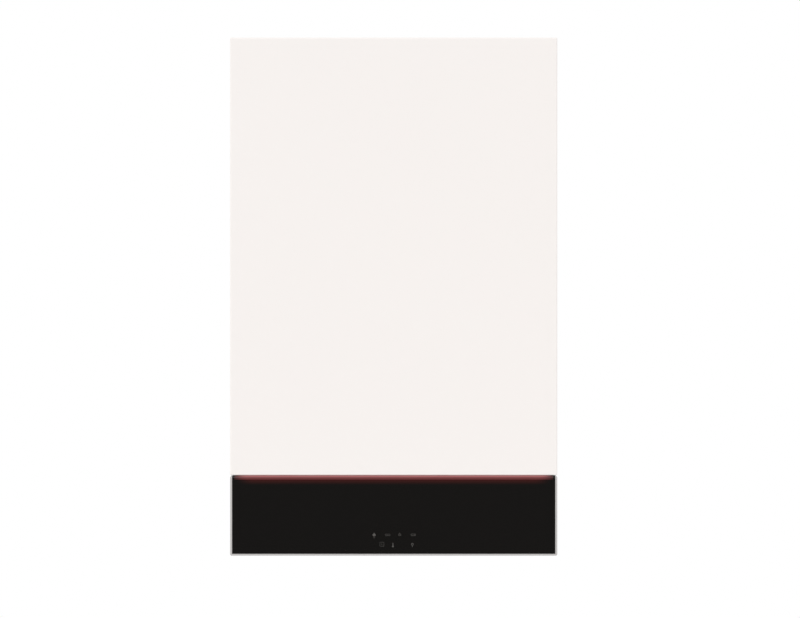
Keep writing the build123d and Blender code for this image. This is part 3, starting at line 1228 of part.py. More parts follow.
with BuildPart() as expansion_vessel:
    add(vessel_shape(0))
    with BuildSketch(wall_plane(VESSEL_DEPTH, VESSEL_X, VESSEL_MIDDLE)):
        RectangleRounded(
            VESSEL_WIDTH + 2 * VESSEL_RIM, VESSEL_HEIGHT + 2 * VESSEL_RIM, VESSEL_CORNER + VESSEL_RIM
        )
    extrude(amount=VESSEL_RIM / 2, both=True)
    with BuildSketch(floor_plane(VESSEL_BASE - VESSEL_PORT, VESSEL_PORT_X, VESSEL_DEPTH)):
        Circle(HOSE_RADIUS + VESSEL_RIM)
    extrude(amount=VESSEL_PORT + VESSEL_RIM)
    add(vessel_shape(-VESSEL_WALL), mode=Mode.SUBTRACT)
finish(expansion_vessel, "expansion_vessel")

with BuildPart() as vessel_hose:
    hose_height = BLOCK_BASE + PIPE_BEND
    vessel_hose_points = (
        at(VESSEL_PORT_X, VESSEL_DEPTH, VESSEL_BASE - VESSEL_PORT),
        at(VESSEL_PORT_X, VESSEL_DEPTH, hose_height),
        at(PUMP_LEFT + 2 * PIPE_BEND, VESSEL_DEPTH, hose_height),
        at(PUMP_LEFT + 2 * PIPE_BEND, BLOCK_BACK, hose_height),
    )
    add(tube(vessel_hose_points, HOSE_RADIUS))
finish(vessel_hose, "vessel_hose")


# ---------------------------------------------------------------- storage cylinder
def tank_shape(grow):
    """The cylinder with its dished ends, larger or smaller all round by an amount."""
    radius = TANK_RADIUS + grow
    knuckle = radius - TANK_KNUCKLE
    flat = radius - TANK_CROWN
    low = TANK_BASE - grow
    high = TANK_BASE + TANK_HEIGHT + grow
    with BuildPart() as body:
        with BuildSketch(wall_plane(TANK_DEPTH, TANK_X, 0)):
            with BuildLine():
                Polyline(
                    (0, low),
                    (flat, low),
                    (knuckle, low + TANK_KNUCKLE_RISE),
                    (radius, low + TANK_DOME),
                    (radius, high - TANK_DOME),
                    (knuckle, high - TANK_KNUCKLE_RISE),
                    (flat, high),
                    (0, high),
                    close=True,
                )
            make_face()
        revolve(axis=Axis(at(TANK_X, TANK_DEPTH, 0), (0, 0, 1)))
    return body.part


TANK_TOP = TANK_BASE + TANK_HEIGHT
NECK_LENGTH = TANK_HEIGHT + 2 * TANK_NECK
with BuildPart() as storage_tank:
    with BuildSketch(floor_plane(TANK_BASE - TANK_NECK, TANK_X, TANK_DEPTH)):
        Circle(TANK_NECK_RADIUS)
    extrude(amount=NECK_LENGTH)
    add(tank_shape(0))
    add(tank_shape(-TANK_WALL), mode=Mode.SUBTRACT)
    with BuildSketch(floor_plane(TANK_BASE - TANK_NECK, TANK_X, TANK_DEPTH)):
        Circle(WATER_RADIUS - PIPE_WALL)
    extrude(amount=NECK_LENGTH, mode=Mode.SUBTRACT)
finish(storage_tank, "storage_tank")


def foam_half(keep):
    """One half of the insulation block, cut where the two halves meet."""
    with BuildPart() as foam:
        with BuildSketch(floor_plane(SHELF_HEIGHT, TANK_X, TANK_DEPTH)):
            Rectangle(2 * FOAM_HALF, 2 * FOAM_HALF)
        extrude(amount=TANK_TOP + FOAM_SIDE - SHELF_HEIGHT)
        chamfer(edges().filter_by(Axis.Z), FOAM_CHAMFER)
        add(tank_shape(CONTACT_GAP), mode=Mode.SUBTRACT)
        with BuildSketch(floor_plane(TANK_BASE - TANK_NECK, TANK_X, TANK_DEPTH)):
            Circle(TANK_NECK_RADIUS + CONTACT_GAP)
        extrude(amount=NECK_LENGTH, mode=Mode.SUBTRACT)
        split(bisect_by=Plane.XZ.offset(TANK_DEPTH), keep=keep)
    return foam.part


with BuildPart() as tank_insulation_front:
    add(foam_half(Keep.TOP))
finish(tank_insulation_front, "tank_insulation_front")

with BuildPart() as tank_insulation_rear:
    add(foam_half(Keep.BOTTOM))
finish(tank_insulation_rear, "tank_insulation_rear")

# ---------------------------------------------------------------- plate heat exchanger
PLATE_FRONT = PLATE_BACK + PLATE_PITCH * PLATE_COUNT
PLATE_MIDDLE = PLATE_BASE + PLATE_HEIGHT / 2
PLATE_LEFT_PORT = PLATE_X - PLATE_LENGTH / 2 + PLATE_PORT_INSET
PLATE_RIGHT_PORT = PLATE_X + PLATE_LENGTH / 2 - PLATE_PORT_INSET
PLATE_UPPER_PORT = PLATE_BASE + PLATE_HEIGHT - PLATE_PORT_INSET
PLATE_LOWER_PORT = PLATE_BASE + PLATE_PORT_INSET
PORT_BORE = WATER_RADIUS - PIPE_WALL
with BuildPart() as plate_heat_exchanger:
    for n in range(PLATE_COUNT):
        plate_depth = PLATE_BACK + n * PLATE_PITCH
        for inset, start, thickness in ((0, 0, PLATE_PITCH / 2), (1, PLATE_PITCH / 2, PLATE_PITCH / 2)):
            with BuildSketch(wall_plane(plate_depth + start, PLATE_X, PLATE_MIDDLE)) as plate:
                Rectangle(PLATE_LENGTH - 2 * inset, PLATE_HEIGHT - 2 * inset)
                chamfer(plate.vertices(), PLATE_PORT_INSET / 2)
            extrude(amount=thickness)
    with BuildSketch(Plane.XZ.offset(BLOCK_FRONT)):
        with Locations(
            (PLATE_LEFT_PORT, level(PLATE_UPPER_PORT)), (PLATE_RIGHT_PORT, level(PLATE_UPPER_PORT))
        ):
            Circle(PLATE_PORT_RADIUS)
    extrude(amount=PLATE_BACK - BLOCK_FRONT)
    with BuildSketch(Plane.XZ.offset(BLOCK_FRONT)):
        with Locations(
            (PLATE_LEFT_PORT, level(PLATE_UPPER_PORT)), (PLATE_RIGHT_PORT, level(PLATE_UPPER_PORT))
        ):
            Circle(PORT_BORE)
    extrude(amount=PLATE_BACK - BLOCK_FRONT + PLATE_PITCH, mode=Mode.SUBTRACT)
    with BuildSketch(Plane.XZ.offset(PLATE_FRONT)):
        with Locations(
            (PLATE_LEFT_PORT, level(PLATE_LOWER_PORT)), (PLATE_RIGHT_PORT, level(PLATE_LOWER_PORT))
        ):
            Circle(PORT_BORE)
    extrude(amount=-PLATE_PITCH, mode=Mode.SUBTRACT)
finish(plate_heat_exchanger, "plate_heat_exchanger")

# ---------------------------------------------------------------- diverter valve
BLOCK_DEPTH = BLOCK_FRONT - BLOCK_BACK
BLOCK_MIDDLE = (BLOCK_FRONT + BLOCK_BACK) / 2
DIVERTER_X = DIVERTER_LEFT + DIVERTER_WIDTH / 2
DIVERTER_TOP = BLOCK_BASE + DIVERTER_HEIGHT
CHAMBER_LENGTH = PLUG_START + PLUG_LENGTH + DIVERTER_TRAVEL + CONTACT_GAP
PASSAGE_LENGTH = DIVERTER_WIDTH - DIVERTER_SEAT_WALL
with BuildPart() as diverter_valve:
    with BuildSketch(floor_plane(BLOCK_BASE, DIVERTER_X, BLOCK_MIDDLE)):
        RectangleRounded(DIVERTER_WIDTH, BLOCK_DEPTH, BLOCK_RADIUS)
    extrude(amount=DIVERTER_HEIGHT)
    with BuildSketch(floor_plane(TRAY_HEIGHT, DIVERTER_X, BLOCK_FRONT - FOOT_INSET)):
        with GridLocations(DIVERTER_WIDTH - 2 * FOOT_INSET, 1, 2, 1):
            Circle(FOOT_RADIUS)
    extrude(amount=BLOCK_BASE - TRAY_HEIGHT)
    with BuildSketch(floor_plane(STUB_END, -2 * STUB_SPACING, STUB_DEPTH)):
        Circle(HEATING_RADIUS)
    extrude(amount=BLOCK_BASE - STUB_END)
    # stub bore, valve chamber, flow inlet at the top and outlet to the plate exchanger
    with BuildSketch(floor_plane(STUB_END, -2 * STUB_SPACING, STUB_DEPTH)):
        Circle(HEATING_RADIUS - PIPE_WALL)
    extrude(amount=DIVERTER_AXIS_HEIGHT - STUB_END, mode=Mode.SUBTRACT)
    with BuildSketch(cross_plane(DIVERTER_LEFT, DIVERTER_AXIS_DEPTH, DIVERTER_AXIS_HEIGHT)):
        Circle(DIVERTER_BORE)
    extrude(amount=CHAMBER_LENGTH, mode=Mode.SUBTRACT)
    with BuildSketch(cross_plane(DIVERTER_LEFT, DIVERTER_AXIS_DEPTH, DIVERTER_AXIS_HEIGHT)):
        Circle(SEAT_RADIUS)
    extrude(amount=PASSAGE_LENGTH, mode=Mode.SUBTRACT)
    with BuildSketch(floor_plane(DIVERTER_TOP, DIVERTER_X, DIVERTER_AXIS_DEPTH)):
        Circle(WATER_PIPE_RADIUS - WATER_PIPE_WALL)
    extrude(amount=DIVERTER_AXIS_HEIGHT - DIVERTER_TOP, mode=Mode.SUBTRACT)
    with BuildSketch(wall_plane(DIVERTER_AXIS_DEPTH, PLATE_LEFT_PORT, PLATE_UPPER_PORT)):
        Circle(PORT_BORE)
    extrude(amount=BLOCK_FRONT - DIVERTER_AXIS_DEPTH, mode=Mode.SUBTRACT)
finish(diverter_valve, "diverter_valve")

with BuildPart() as diverter_motor:
    with BuildSketch(cross_plane(DIVERTER_LEFT, DIVERTER_AXIS_DEPTH, DIVERTER_AXIS_HEIGHT)):
        RectangleRounded(ACTUATOR_WIDTH, ACTUATOR_HEIGHT, BLOCK_RADIUS)
    extrude(amount=-ACTUATOR_LENGTH)
    with BuildSketch(cross_plane(DIVERTER_LEFT, DIVERTER_AXIS_DEPTH, DIVERTER_AXIS_HEIGHT)):
        Circle(SPINDLE_RADIUS + RUNNING_FIT)
    extrude(amount=PLUG_START - SPINDLE_LENGTH - CONTACT_GAP, mode=Mode.SUBTRACT)
finish(diverter_motor, "diverter_motor")

with BuildPart() as diverter_spindle:
    with BuildSketch(
        cross_plane(DIVERTER_LEFT + PLUG_START, DIVERTER_AXIS_DEPTH, DIVERTER_AXIS_HEIGHT)
    ):
        Circle(PLUG_RADIUS)
    extrude(amount=PLUG_LENGTH)
    chamfer(edges(), SPINDLE_RADIUS / 2)
    with BuildSketch(
        cross_plane(DIVERTER_LEFT + PLUG_START, DIVERTER_AXIS_DEPTH, DIVERTER_AXIS_HEIGHT)
    ):
        Circle(SPINDLE_RADIUS)
    extrude(amount=-SPINDLE_LENGTH)
finish(diverter_spindle, "diverter_spindle")

# ---------------------------------------------------------------- heating pump
PUMP_MIDDLE = PUMP_LEFT + PUMP_WIDTH / 2
RETURN_HEIGHT = PUMP_AXIS_HEIGHT - SPINDLE_RADIUS
with BuildPart() as pump_housing:
    with BuildSketch(floor_plane(BLOCK_BASE, PUMP_MIDDLE, BLOCK_MIDDLE)):
        RectangleRounded(PUMP_WIDTH, BLOCK_DEPTH, BLOCK_RADIUS)
    extrude(amount=PUMP_HEIGHT)
    with BuildSketch(floor_plane(TRAY_HEIGHT, PUMP_MIDDLE, BLOCK_FRONT - FOOT_INSET)):
        with GridLocations(PUMP_WIDTH - 2 * FOOT_INSET, 1, 2, 1):
            Circle(FOOT_RADIUS)
    extrude(amount=BLOCK_BASE - TRAY_HEIGHT)
    with BuildSketch(floor_plane(STUB_END, 2 * STUB_SPACING, STUB_DEPTH)):
        Circle(HEATING_RADIUS)
    extrude(amount=BLOCK_BASE - STUB_END)
    with BuildSketch(floor_plane(STUB_END, 2 * STUB_SPACING, STUB_DEPTH)):
        Circle(HEATING_RADIUS - PIPE_WALL)
    extrude(amount=BLOCK_BASE - STUB_END + FOOT_INSET, mode=Mode.SUBTRACT)
    with BuildSketch(wall_plane(BLOCK_FRONT, PUMP_X, PUMP_AXIS_HEIGHT)):
        Circle(PUMP_CHAMBER)
    extrude(amount=-PUMP_CHAMBER_DEPTH, mode=Mode.SUBTRACT)
    with BuildSketch(wall_plane(BLOCK_FRONT, PLATE_RIGHT_PORT, PLATE_UPPER_PORT)):
        Circle(PORT_BORE)
    extrude(amount=-PUMP_CHAMBER_DEPTH, mode=Mode.SUBTRACT)
    with BuildSketch(cross_plane(PUMP_LEFT, RETURN_PORT_DEPTH, RETURN_HEIGHT)):
        Circle(WATER_PIPE_RADIUS - WATER_PIPE_WALL)
    extrude(amount=PUMP_CHAMBER_DEPTH, mode=Mode.SUBTRACT)
finish(pump_housing, "pump_housing")

with BuildPart() as pump_motor:
    with BuildSketch(wall_plane(BLOCK_FRONT, PUMP_X, PUMP_AXIS_HEIGHT)):
        RectangleRounded(2 * PUMP_CAN_RADIUS + PUMP_PLATE, 2 * PUMP_CAN_RADIUS + PUMP_PLATE, BLOCK_RADIUS)
    extrude(amount=PUMP_PLATE)
    with BuildSketch(wall_plane(BLOCK_FRONT, PUMP_X, PUMP_AXIS_HEIGHT)):
        Circle(PUMP_CAN_RADIUS)
    extrude(amount=PUMP_CAN_LENGTH)
    chamfer(edges().group_by(Axis.Y)[0], PUMP_PLATE)
    with BuildSketch(
        floor_plane(PUMP_AXIS_HEIGHT, PUMP_X, BLOCK_FRONT + PUMP_PLATE + PUMP_CAN_LENGTH / 3)
    ):
        RectangleRounded(PUMP_CAN_RADIUS, PUMP_CAN_LENGTH / 2, PUMP_PLATE)
    extrude(amount=PUMP_CAN_RADIUS + FOOT_INSET)
    with BuildSketch(wall_plane(BLOCK_FRONT, PUMP_X, PUMP_AXIS_HEIGHT)):
        Circle(SHAFT_RADIUS + RUNNING_FIT)
    extrude(amount=PUMP_SHAFT + CONTACT_GAP, mode=Mode.SUBTRACT)
finish(pump_motor, "pump_motor")


def rotor_vane(hub, rim, thickness):
    """The section of one curved pump vane, from the hub to the rim."""
    with BuildSketch() as section:
        with BuildLine():
            lean = radians(VANE_LEAN)
            tip = (rim * cos(lean) - thickness, -rim * sin(lean))
            ThreePointArc((hub, 0), ((hub + tip[0]) / 2, tip[1] / 2 + VANE_BEND), tip)
            offset(amount=thickness, side=Side.LEFT, closed=True)
        make_face()
    return section.sketch


def pump_rotor(shaft_plane, radius, width, shaft):
    """A pump impeller whose shaft leaves the plane along its normal."""
    with BuildPart() as rotor:
        with BuildSketch(shaft_plane):
            Circle(radius)
        extrude(amount=-IMPELLER_PLATE)
        with BuildSketch(shaft_plane):
            Circle(VANE_HUB)
            with PolarLocations(0, VANE_COUNT):
                add(rotor_vane(VANE_ROOT, radius, IMPELLER_PLATE))
        extrude(amount=-width)
        with BuildSketch(shaft_plane):
            Circle(SHAFT_RADIUS)
        extrude(amount=shaft)
    return rotor.part


ROTOR_GAP = (PUMP_CHAMBER_DEPTH - PUMP_IMPELLER_WIDTH) / 2
with BuildPart() as pump_impeller:
    rotor_plane = wall_plane(BLOCK_FRONT - ROTOR_GAP, PUMP_X, PUMP_AXIS_HEIGHT)
    add(pump_rotor(rotor_plane, PUMP_IMPELLER_RADIUS, PUMP_IMPELLER_WIDTH, ROTOR_GAP + PUMP_SHAFT))
finish(pump_impeller, "pump_impeller")

# ---------------------------------------------------------------- charge pump
CHARGE_X = PLATE_RIGHT_PORT
CHARGE_DEPTH = BLOCK_FRONT + PUMP_CAN_LENGTH + CHARGE_GAP + CHARGE_VOLUTE
CHARGE_HEIGHT = PLATE_LOWER_PORT
CHARGE_LEFT = CHARGE_X - CHARGE_HALF
CHARGE_MOTOR_LEFT = CHARGE_X + CHARGE_HALF
with BuildPart() as charge_pump:
    with BuildSketch(cross_plane(CHARGE_LEFT, CHARGE_DEPTH, CHARGE_HEIGHT)):
        Circle(CHARGE_VOLUTE)
    extrude(amount=2 * CHARGE_HALF)
    with BuildSketch(cross_plane(CHARGE_MOTOR_LEFT, CHARGE_DEPTH, CHARGE_HEIGHT)):
        Circle(CHARGE_RADIUS)
    extrude(amount=CHARGE_MOTOR)
    with BuildSketch(wall_plane(PLATE_FRONT, CHARGE_X, CHARGE_HEIGHT)):
        Circle(PLATE_PORT_RADIUS)
    extrude(amount=CHARGE_DEPTH - PLATE_FRONT)
    with BuildSketch(cross_plane(CHARGE_LEFT + CHARGE_WALL, CHARGE_DEPTH, CHARGE_HEIGHT)):
        Circle(CHARGE_CHAMBER)
    extrude(amount=2 * (CHARGE_HALF - CHARGE_WALL), mode=Mode.SUBTRACT)
    with BuildSketch(wall_plane(PLATE_FRONT, CHARGE_X, CHARGE_HEIGHT)):
        Circle(PORT_BORE)
    extrude(amount=CHARGE_DEPTH - PLATE_FRONT - CHARGE_CHAMBER / 2, mode=Mode.SUBTRACT)
    with BuildSketch(cross_plane(CHARGE_LEFT, CHARGE_DEPTH, CHARGE_HEIGHT)):
        Circle(PORT_BORE)
    extrude(amount=CHARGE_WALL, mode=Mode.SUBTRACT)
    with BuildSketch(cross_plane(CHARGE_MOTOR_LEFT - CHARGE_WALL, CHARGE_DEPTH, CHARGE_HEIGHT)):
        Circle(SHAFT_RADIUS + RUNNING_FIT)
    extrude(amount=CHARGE_SHAFT + CONTACT_GAP, mode=Mode.SUBTRACT)
finish(charge_pump, "charge_pump")

with BuildPart() as charge_impeller:
    charge_plane = cross_plane(
        CHARGE_MOTOR_LEFT - CHARGE_WALL - CHARGE_ROTOR_GAP, CHARGE_DEPTH, CHARGE_HEIGHT
    )
    charge_rim = CHARGE_CHAMBER - 2 * IMPELLER_PLATE
    add(pump_rotor(charge_plane, charge_rim, CHARGE_ROTOR_WIDTH, CHARGE_ROTOR_GAP + CHARGE_SHAFT))
finish(charge_impeller, "charge_impeller")

# ---------------------------------------------------------------- heating and water pipes
with BuildPart() as flow_pipe:
    flow_points = (
        at(HX_X - WATER_PORT_OFFSET, FLOW_PORT_DEPTH, PORT_HEIGHT),
        at(HX_X - WATER_PORT_OFFSET, FLOW_PORT_DEPTH, DIVERTER_TOP + 5 * FLOW_PIPE_BEND),
        at(DIVERTER_X, DIVERTER_AXIS_DEPTH, DIVERTER_TOP + 2.5 * FLOW_PIPE_BEND),
        at(DIVERTER_X, DIVERTER_AXIS_DEPTH, DIVERTER_TOP),
    )
    add(tube(flow_points, WATER_PIPE_RADIUS, FLOW_PIPE_BEND))
finish(flow_pipe, "flow_pipe")

with BuildPart() as return_pipe:
    return_points = (
        at(PUMP_LEFT, RETURN_PORT_DEPTH, RETURN_HEIGHT),
        at(RETURN_RISER_X, RETURN_PORT_DEPTH, RETURN_HEIGHT),
        at(RETURN_RISER_X, RETURN_PORT_DEPTH, PORT_HEIGHT - 4 * FLOW_PIPE_BEND),
        at(HX_X + WATER_PORT_OFFSET, RETURN_PORT_DEPTH, PORT_HEIGHT - 2 * FLOW_PIPE_BEND),
        at(HX_X + WATER_PORT_OFFSET, RETURN_PORT_DEPTH, PORT_HEIGHT),
    )
    add(tube(return_points, WATER_PIPE_RADIUS, FLOW_PIPE_BEND))
finish(return_pipe, "return_pipe")

TEE_DEPTH = PLATE_FRONT + PIPE_BEND
HOT_RISER_DEPTH = FOAM_FRONT + HOT_RISER_GAP + WATER_RADIUS
HOT_CROSSING = CASING_HEIGHT - HOT_CROSSING_DROP
with BuildPart() as hot_water_pipe:
    hot_points = (
        at(-STUB_SPACING, STUB_DEPTH, STUB_END),
        at(-STUB_SPACING, STUB_DEPTH, RUN_HEIGHT),
        at(-STUB_SPACING, TEE_DEPTH + 2 * PIPE_BEND, RUN_HEIGHT),
        at(HOT_RISER_X, HOT_RISER_DEPTH, RUN_HEIGHT),
        at(HOT_RISER_X, HOT_RISER_DEPTH, HOT_CROSSING),
        at(TANK_X, TANK_DEPTH, HOT_CROSSING),
        at(TANK_X, TANK_DEPTH, TANK_TOP + TANK_NECK),
    )
    hot_branch_points = (
        at(PLATE_LEFT_PORT, PLATE_FRONT, PLATE_LOWER_PORT),
        at(PLATE_LEFT_PORT, TEE_DEPTH, PLATE_LOWER_PORT),
        at(PLATE_LEFT_PORT, TEE_DEPTH, RUN_HEIGHT),
        at(-STUB_SPACING, TEE_DEPTH, RUN_HEIGHT),
    )
    add(tube(hot_points, WATER_RADIUS))
    add(tube(hot_branch_points, WATER_RADIUS, BRANCH_BEND))
    add(stub_bore(-STUB_SPACING, STUB_DEPTH, WATER_RADIUS), mode=Mode.SUBTRACT)
finish(hot_water_pipe, "hot_water_pipe")

SUCTION_X = CHARGE_LEFT - 1.5 * PIPE_BEND
with BuildPart() as cold_water_pipe:
    cold_points = (
        at(STUB_SPACING, STUB_DEPTH, STUB_END),
        at(STUB_SPACING, STUB_DEPTH, RUN_HEIGHT),
        at(TANK_X, TANK_DEPTH, RUN_HEIGHT),
        at(TANK_X, TANK_DEPTH, TANK_BASE - TANK_NECK),
    )
    suction_points = (
        at((STUB_SPACING + TANK_X) / 2, (STUB_DEPTH + TANK_DEPTH) / 2, RUN_HEIGHT),
        at(SUCTION_X, CHARGE_DEPTH, RUN_HEIGHT),
        at(SUCTION_X, CHARGE_DEPTH, CHARGE_HEIGHT),
        at(CHARGE_LEFT, CHARGE_DEPTH, CHARGE_HEIGHT),
    )
    add(tube(cold_points, WATER_RADIUS))
    add(tube(suction_points, WATER_RADIUS, BRANCH_BEND))
    add(stub_bore(STUB_SPACING, STUB_DEPTH, WATER_RADIUS), mode=Mode.SUBTRACT)
finish(cold_water_pipe, "cold_water_pipe")

# ---------------------------------------------------------------- safety valve and air vent
RELIEF_END = PUMP_RIGHT + RELIEF_LENGTH
with BuildPart() as safety_valve:
    with BuildSketch(cross_plane(PUMP_RIGHT, RELIEF_DEPTH, RELIEF_HEIGHT)):
        Circle(RELIEF_RADIUS)
    extrude(amount=RELIEF_LENGTH)
    with BuildSketch(cross_plane(RELIEF_END, RELIEF_DEPTH, RELIEF_HEIGHT)):
        Circle(SHAFT_RADIUS)
    extrude(amount=STEM_LENGTH)
    with BuildSketch(floor_plane(STUB_END, RELIEF_PIPE_X, RELIEF_DEPTH)):
        Circle(RELIEF_PIPE)
    extrude(amount=RELIEF_HEIGHT - STUB_END)
    # boss of the outlet, with a flat end round the pipe
    with BuildSketch(floor_plane(RELIEF_HEIGHT, RELIEF_PIPE_X, RELIEF_DEPTH)):
        Circle(RELIEF_BOSS)
    extrude(amount=-RELIEF_RADIUS - RELIEF_BOSS_LENGTH)
    add(stub_bore(RELIEF_PIPE_X, RELIEF_DEPTH, RELIEF_PIPE), mode=Mode.SUBTRACT)
finish(safety_valve, "safety_valve")

with BuildPart() as safety_valve_knob:
    with BuildSketch(cross_plane(RELIEF_END + CONTACT_GAP, RELIEF_DEPTH, RELIEF_HEIGHT)):
        Circle(KNOB_RADIUS)
        with PolarLocations(KNOB_RADIUS + CUP_WALL, KNOB_FLUTES):
            Circle(2 * CUP_WALL, mode=Mode.SUBTRACT)
    extrude(amount=KNOB_LENGTH)
    with BuildSketch(cross_plane(RELIEF_END + CONTACT_GAP, RELIEF_DEPTH, RELIEF_HEIGHT)):
        Circle(SHAFT_RADIUS + RUNNING_FIT)
    extrude(amount=STEM_LENGTH, mode=Mode.SUBTRACT)
finish(safety_valve_knob, "safety_valve_knob")

with BuildPart() as air_vent:
    vent_depth = BLOCK_BACK + VENT_RADIUS + BLOCK_RADIUS
    with BuildSketch(floor_plane(BLOCK_BASE + PUMP_HEIGHT, VENT_X, vent_depth)):
        Circle(VENT_RADIUS)
    extrude(amount=VENT_HEIGHT)
    chamfer(edges().group_by(Axis.Z)[-1], SHAFT_RADIUS)
finish(air_vent, "air_vent")

# ---------------------------------------------------------------- control panel
CONTROL_MIDDLE = CONTROL_HEIGHT / 2
FASCIA_INSIDE = CASING_DEPTH - FASCIA_WALL
STRIP_MIDDLE = CONTROL_HEIGHT - STRIP_HEIGHT / 2
STRIP_LENGTH = CASING_WIDTH - 2 * STRIP_END
SWITCH_SWING = SWITCH_DROP * sin(radians(SWITCH_ANGLE))
SWITCH_HEIGHT = SWITCH_PIVOT + FASCIA_WALL + CONTACT_GAP
with BuildPart() as control_fascia:
    with BuildSketch(wall_plane(COVER_BACK, 0, CONTROL_MIDDLE)):
        RectangleRounded(CASING_WIDTH, CONTROL_HEIGHT, FACE_RADIUS)
    extrude(amount=COVER_DEPTH)
    fillet(edges().group_by(Axis.Y)[0], FACE_RADIUS)
    offset(amount=-FASCIA_WALL, openings=faces().sort_by(Axis.Y)[-1])
    with BuildSketch(wall_plane(CASING_DEPTH - STRIP_DEPTH, 0, STRIP_MIDDLE)):
        Rectangle(STRIP_LENGTH, STRIP_HEIGHT)
    extrude(amount=STRIP_DEPTH, mode=Mode.SUBTRACT)
    # opening in the underside for the rocker switch, with the cheeks that carry it
    with BuildSketch(floor_plane(0, SWITCH_X, SWITCH_DEPTH)):
        Rectangle(
            SWITCH_WIDTH + 2 * SWITCH_GAP,
            SWITCH_LENGTH + 2 * (SWITCH_SWING + SWITCH_GAP),
        )
    extrude(amount=FASCIA_WALL, mode=Mode.SUBTRACT)
    cheek_span = SWITCH_WIDTH + 2 * SWITCH_GAP + CHEEK_THICKNESS
    with BuildSketch(floor_plane(FASCIA_WALL, SWITCH_X, SWITCH_DEPTH)):
        with GridLocations(cheek_span, 1, 2, 1):
            Rectangle(CHEEK_THICKNESS, CHEEK_LENGTH)
    extrude(amount=SWITCH_HEIGHT)
    with BuildSketch(cross_plane(SWITCH_X - cheek_span, SWITCH_DEPTH, SWITCH_HEIGHT)):
        Circle(PIN_RADIUS + RUNNING_FIT)
    extrude(amount=2 * cheek_span, mode=Mode.SUBTRACT)
finish(control_fascia, "control_fascia")

with BuildPart() as light_strip:
    with BuildSketch(wall_plane(CASING_DEPTH - STRIP_DEPTH, 0, STRIP_MIDDLE)):
        Rectangle(STRIP_LENGTH, STRIP_HEIGHT)
    extrude(amount=STRIP_DEPTH)
    strip_edge = edges().filter_by(Axis.X).group_by(Axis.Y)[0].sort_by(Axis.Z)[-1]
    fillet(strip_edge, FACE_RADIUS)
finish(light_strip, "light_strip")

switch_tilt = radians(SWITCH_ANGLE)
switch_plane = Plane(
    origin=at(SWITCH_X, SWITCH_DEPTH, SWITCH_HEIGHT),
    x_dir=(0, -cos(switch_tilt), sin(switch_tilt)),
    z_dir=(-1, 0, 0),
)
with BuildPart() as mains_switch:
    with BuildSketch(switch_plane):
        with BuildLine():
            Polyline(
                (-SWITCH_LENGTH / 2, SWITCH_TOP),
                (-SWITCH_LENGTH / 2, -SWITCH_DROP),
                (0, SWITCH_DISH - SWITCH_DROP),
                (SWITCH_LENGTH / 2, -SWITCH_DROP),
                (SWITCH_LENGTH / 2, SWITCH_TOP),
                close=True,
            )
        make_face()
    extrude(amount=SWITCH_WIDTH / 2, both=True)
    with BuildSketch(switch_plane):
        Circle(PIN_RADIUS)
    extrude(amount=SWITCH_WIDTH / 2 + PIN_LENGTH, both=True)
finish(mains_switch, "mains_switch")

with BuildPart() as display_module:
    with BuildSketch(wall_plane(FASCIA_INSIDE - DISPLAY_THICKNESS, 0, CONTROL_MIDDLE)):
        RectangleRounded(DISPLAY_WIDTH, DISPLAY_HEIGHT, FACE_RADIUS)
    extrude(amount=DISPLAY_THICKNESS)
finish(display_module, "display_module")

HOUSING_MIDDLE = (HOUSING_BASE + HOUSING_TOP) / 2
HOUSING_HEIGHT = HOUSING_TOP - HOUSING_BASE
HOUSING_DEPTH = FASCIA_INSIDE - HOUSING_BACK
NOTCH_WIDTH = cheek_span + CHEEK_THICKNESS + 4 * SWITCH_GAP
with BuildPart() as control_housing:
    with BuildSketch(wall_plane(HOUSING_BACK, 0, HOUSING_MIDDLE)):
        Rectangle(2 * HOUSING_HALF, HOUSING_HEIGHT)
    extrude(amount=HOUSING_DEPTH)
    offset(amount=-HOUSING_WALL, openings=faces().sort_by(Axis.Y)[-1])
    with BuildSketch(wall_plane(FASCIA_INSIDE - HOUSING_WALL, 0, CONTROL_MIDDLE)):
        RectangleRounded(
            DISPLAY_WIDTH + 2 * DISPLAY_PLAY,
            DISPLAY_HEIGHT + 2 * DISPLAY_PLAY,
            FACE_RADIUS + DISPLAY_PLAY,
        )
    extrude(amount=HOUSING_WALL, mode=Mode.SUBTRACT)
    with BuildSketch(floor_plane(HOUSING_BASE, SWITCH_X, SWITCH_DEPTH)):
        Rectangle(NOTCH_WIDTH, SWITCH_LENGTH + CHEEK_LENGTH)
    extrude(amount=HOUSING_WALL, mode=Mode.SUBTRACT)
    # hinge ears at the lower rear corners
    for sign in (-1, 1):
        with BuildSketch(cross_plane(sign * HOUSING_HALF, HINGE_DEPTH, HINGE_HEIGHT)):
            Circle(EAR_RADIUS)
        extrude(amount=sign * EAR_THICKNESS)
        with BuildSketch(
            cross_plane(sign * (HOUSING_HALF - HOUSING_WALL), HINGE_DEPTH, HINGE_HEIGHT)
        ):
            Circle(SHAFT_RADIUS + RUNNING_FIT)
        extrude(amount=sign * (EAR_THICKNESS + HOUSING_WALL), mode=Mode.SUBTRACT)
finish(control_housing, "control_housing")

with BuildPart() as housing_lid:
    with BuildSketch(wall_plane(HOUSING_BACK, 0, HOUSING_MIDDLE)):
        Rectangle(2 * HOUSING_HALF, HOUSING_HEIGHT)
    extrude(amount=-LID_THICKNESS)
    with BuildSketch(wall_plane(HOUSING_BACK, 0, HOUSING_MIDDLE)):
        with GridLocations(BOARD_WIDTH - 2 * POST_INSET, BOARD_HEIGHT - 2 * POST_INSET, 2, 2):
            Circle(POST_RADIUS)
    extrude(amount=BOARD_STANDOFF)
finish(housing_lid, "housing_lid")

BOARD_BACK = HOUSING_BACK + BOARD_STANDOFF
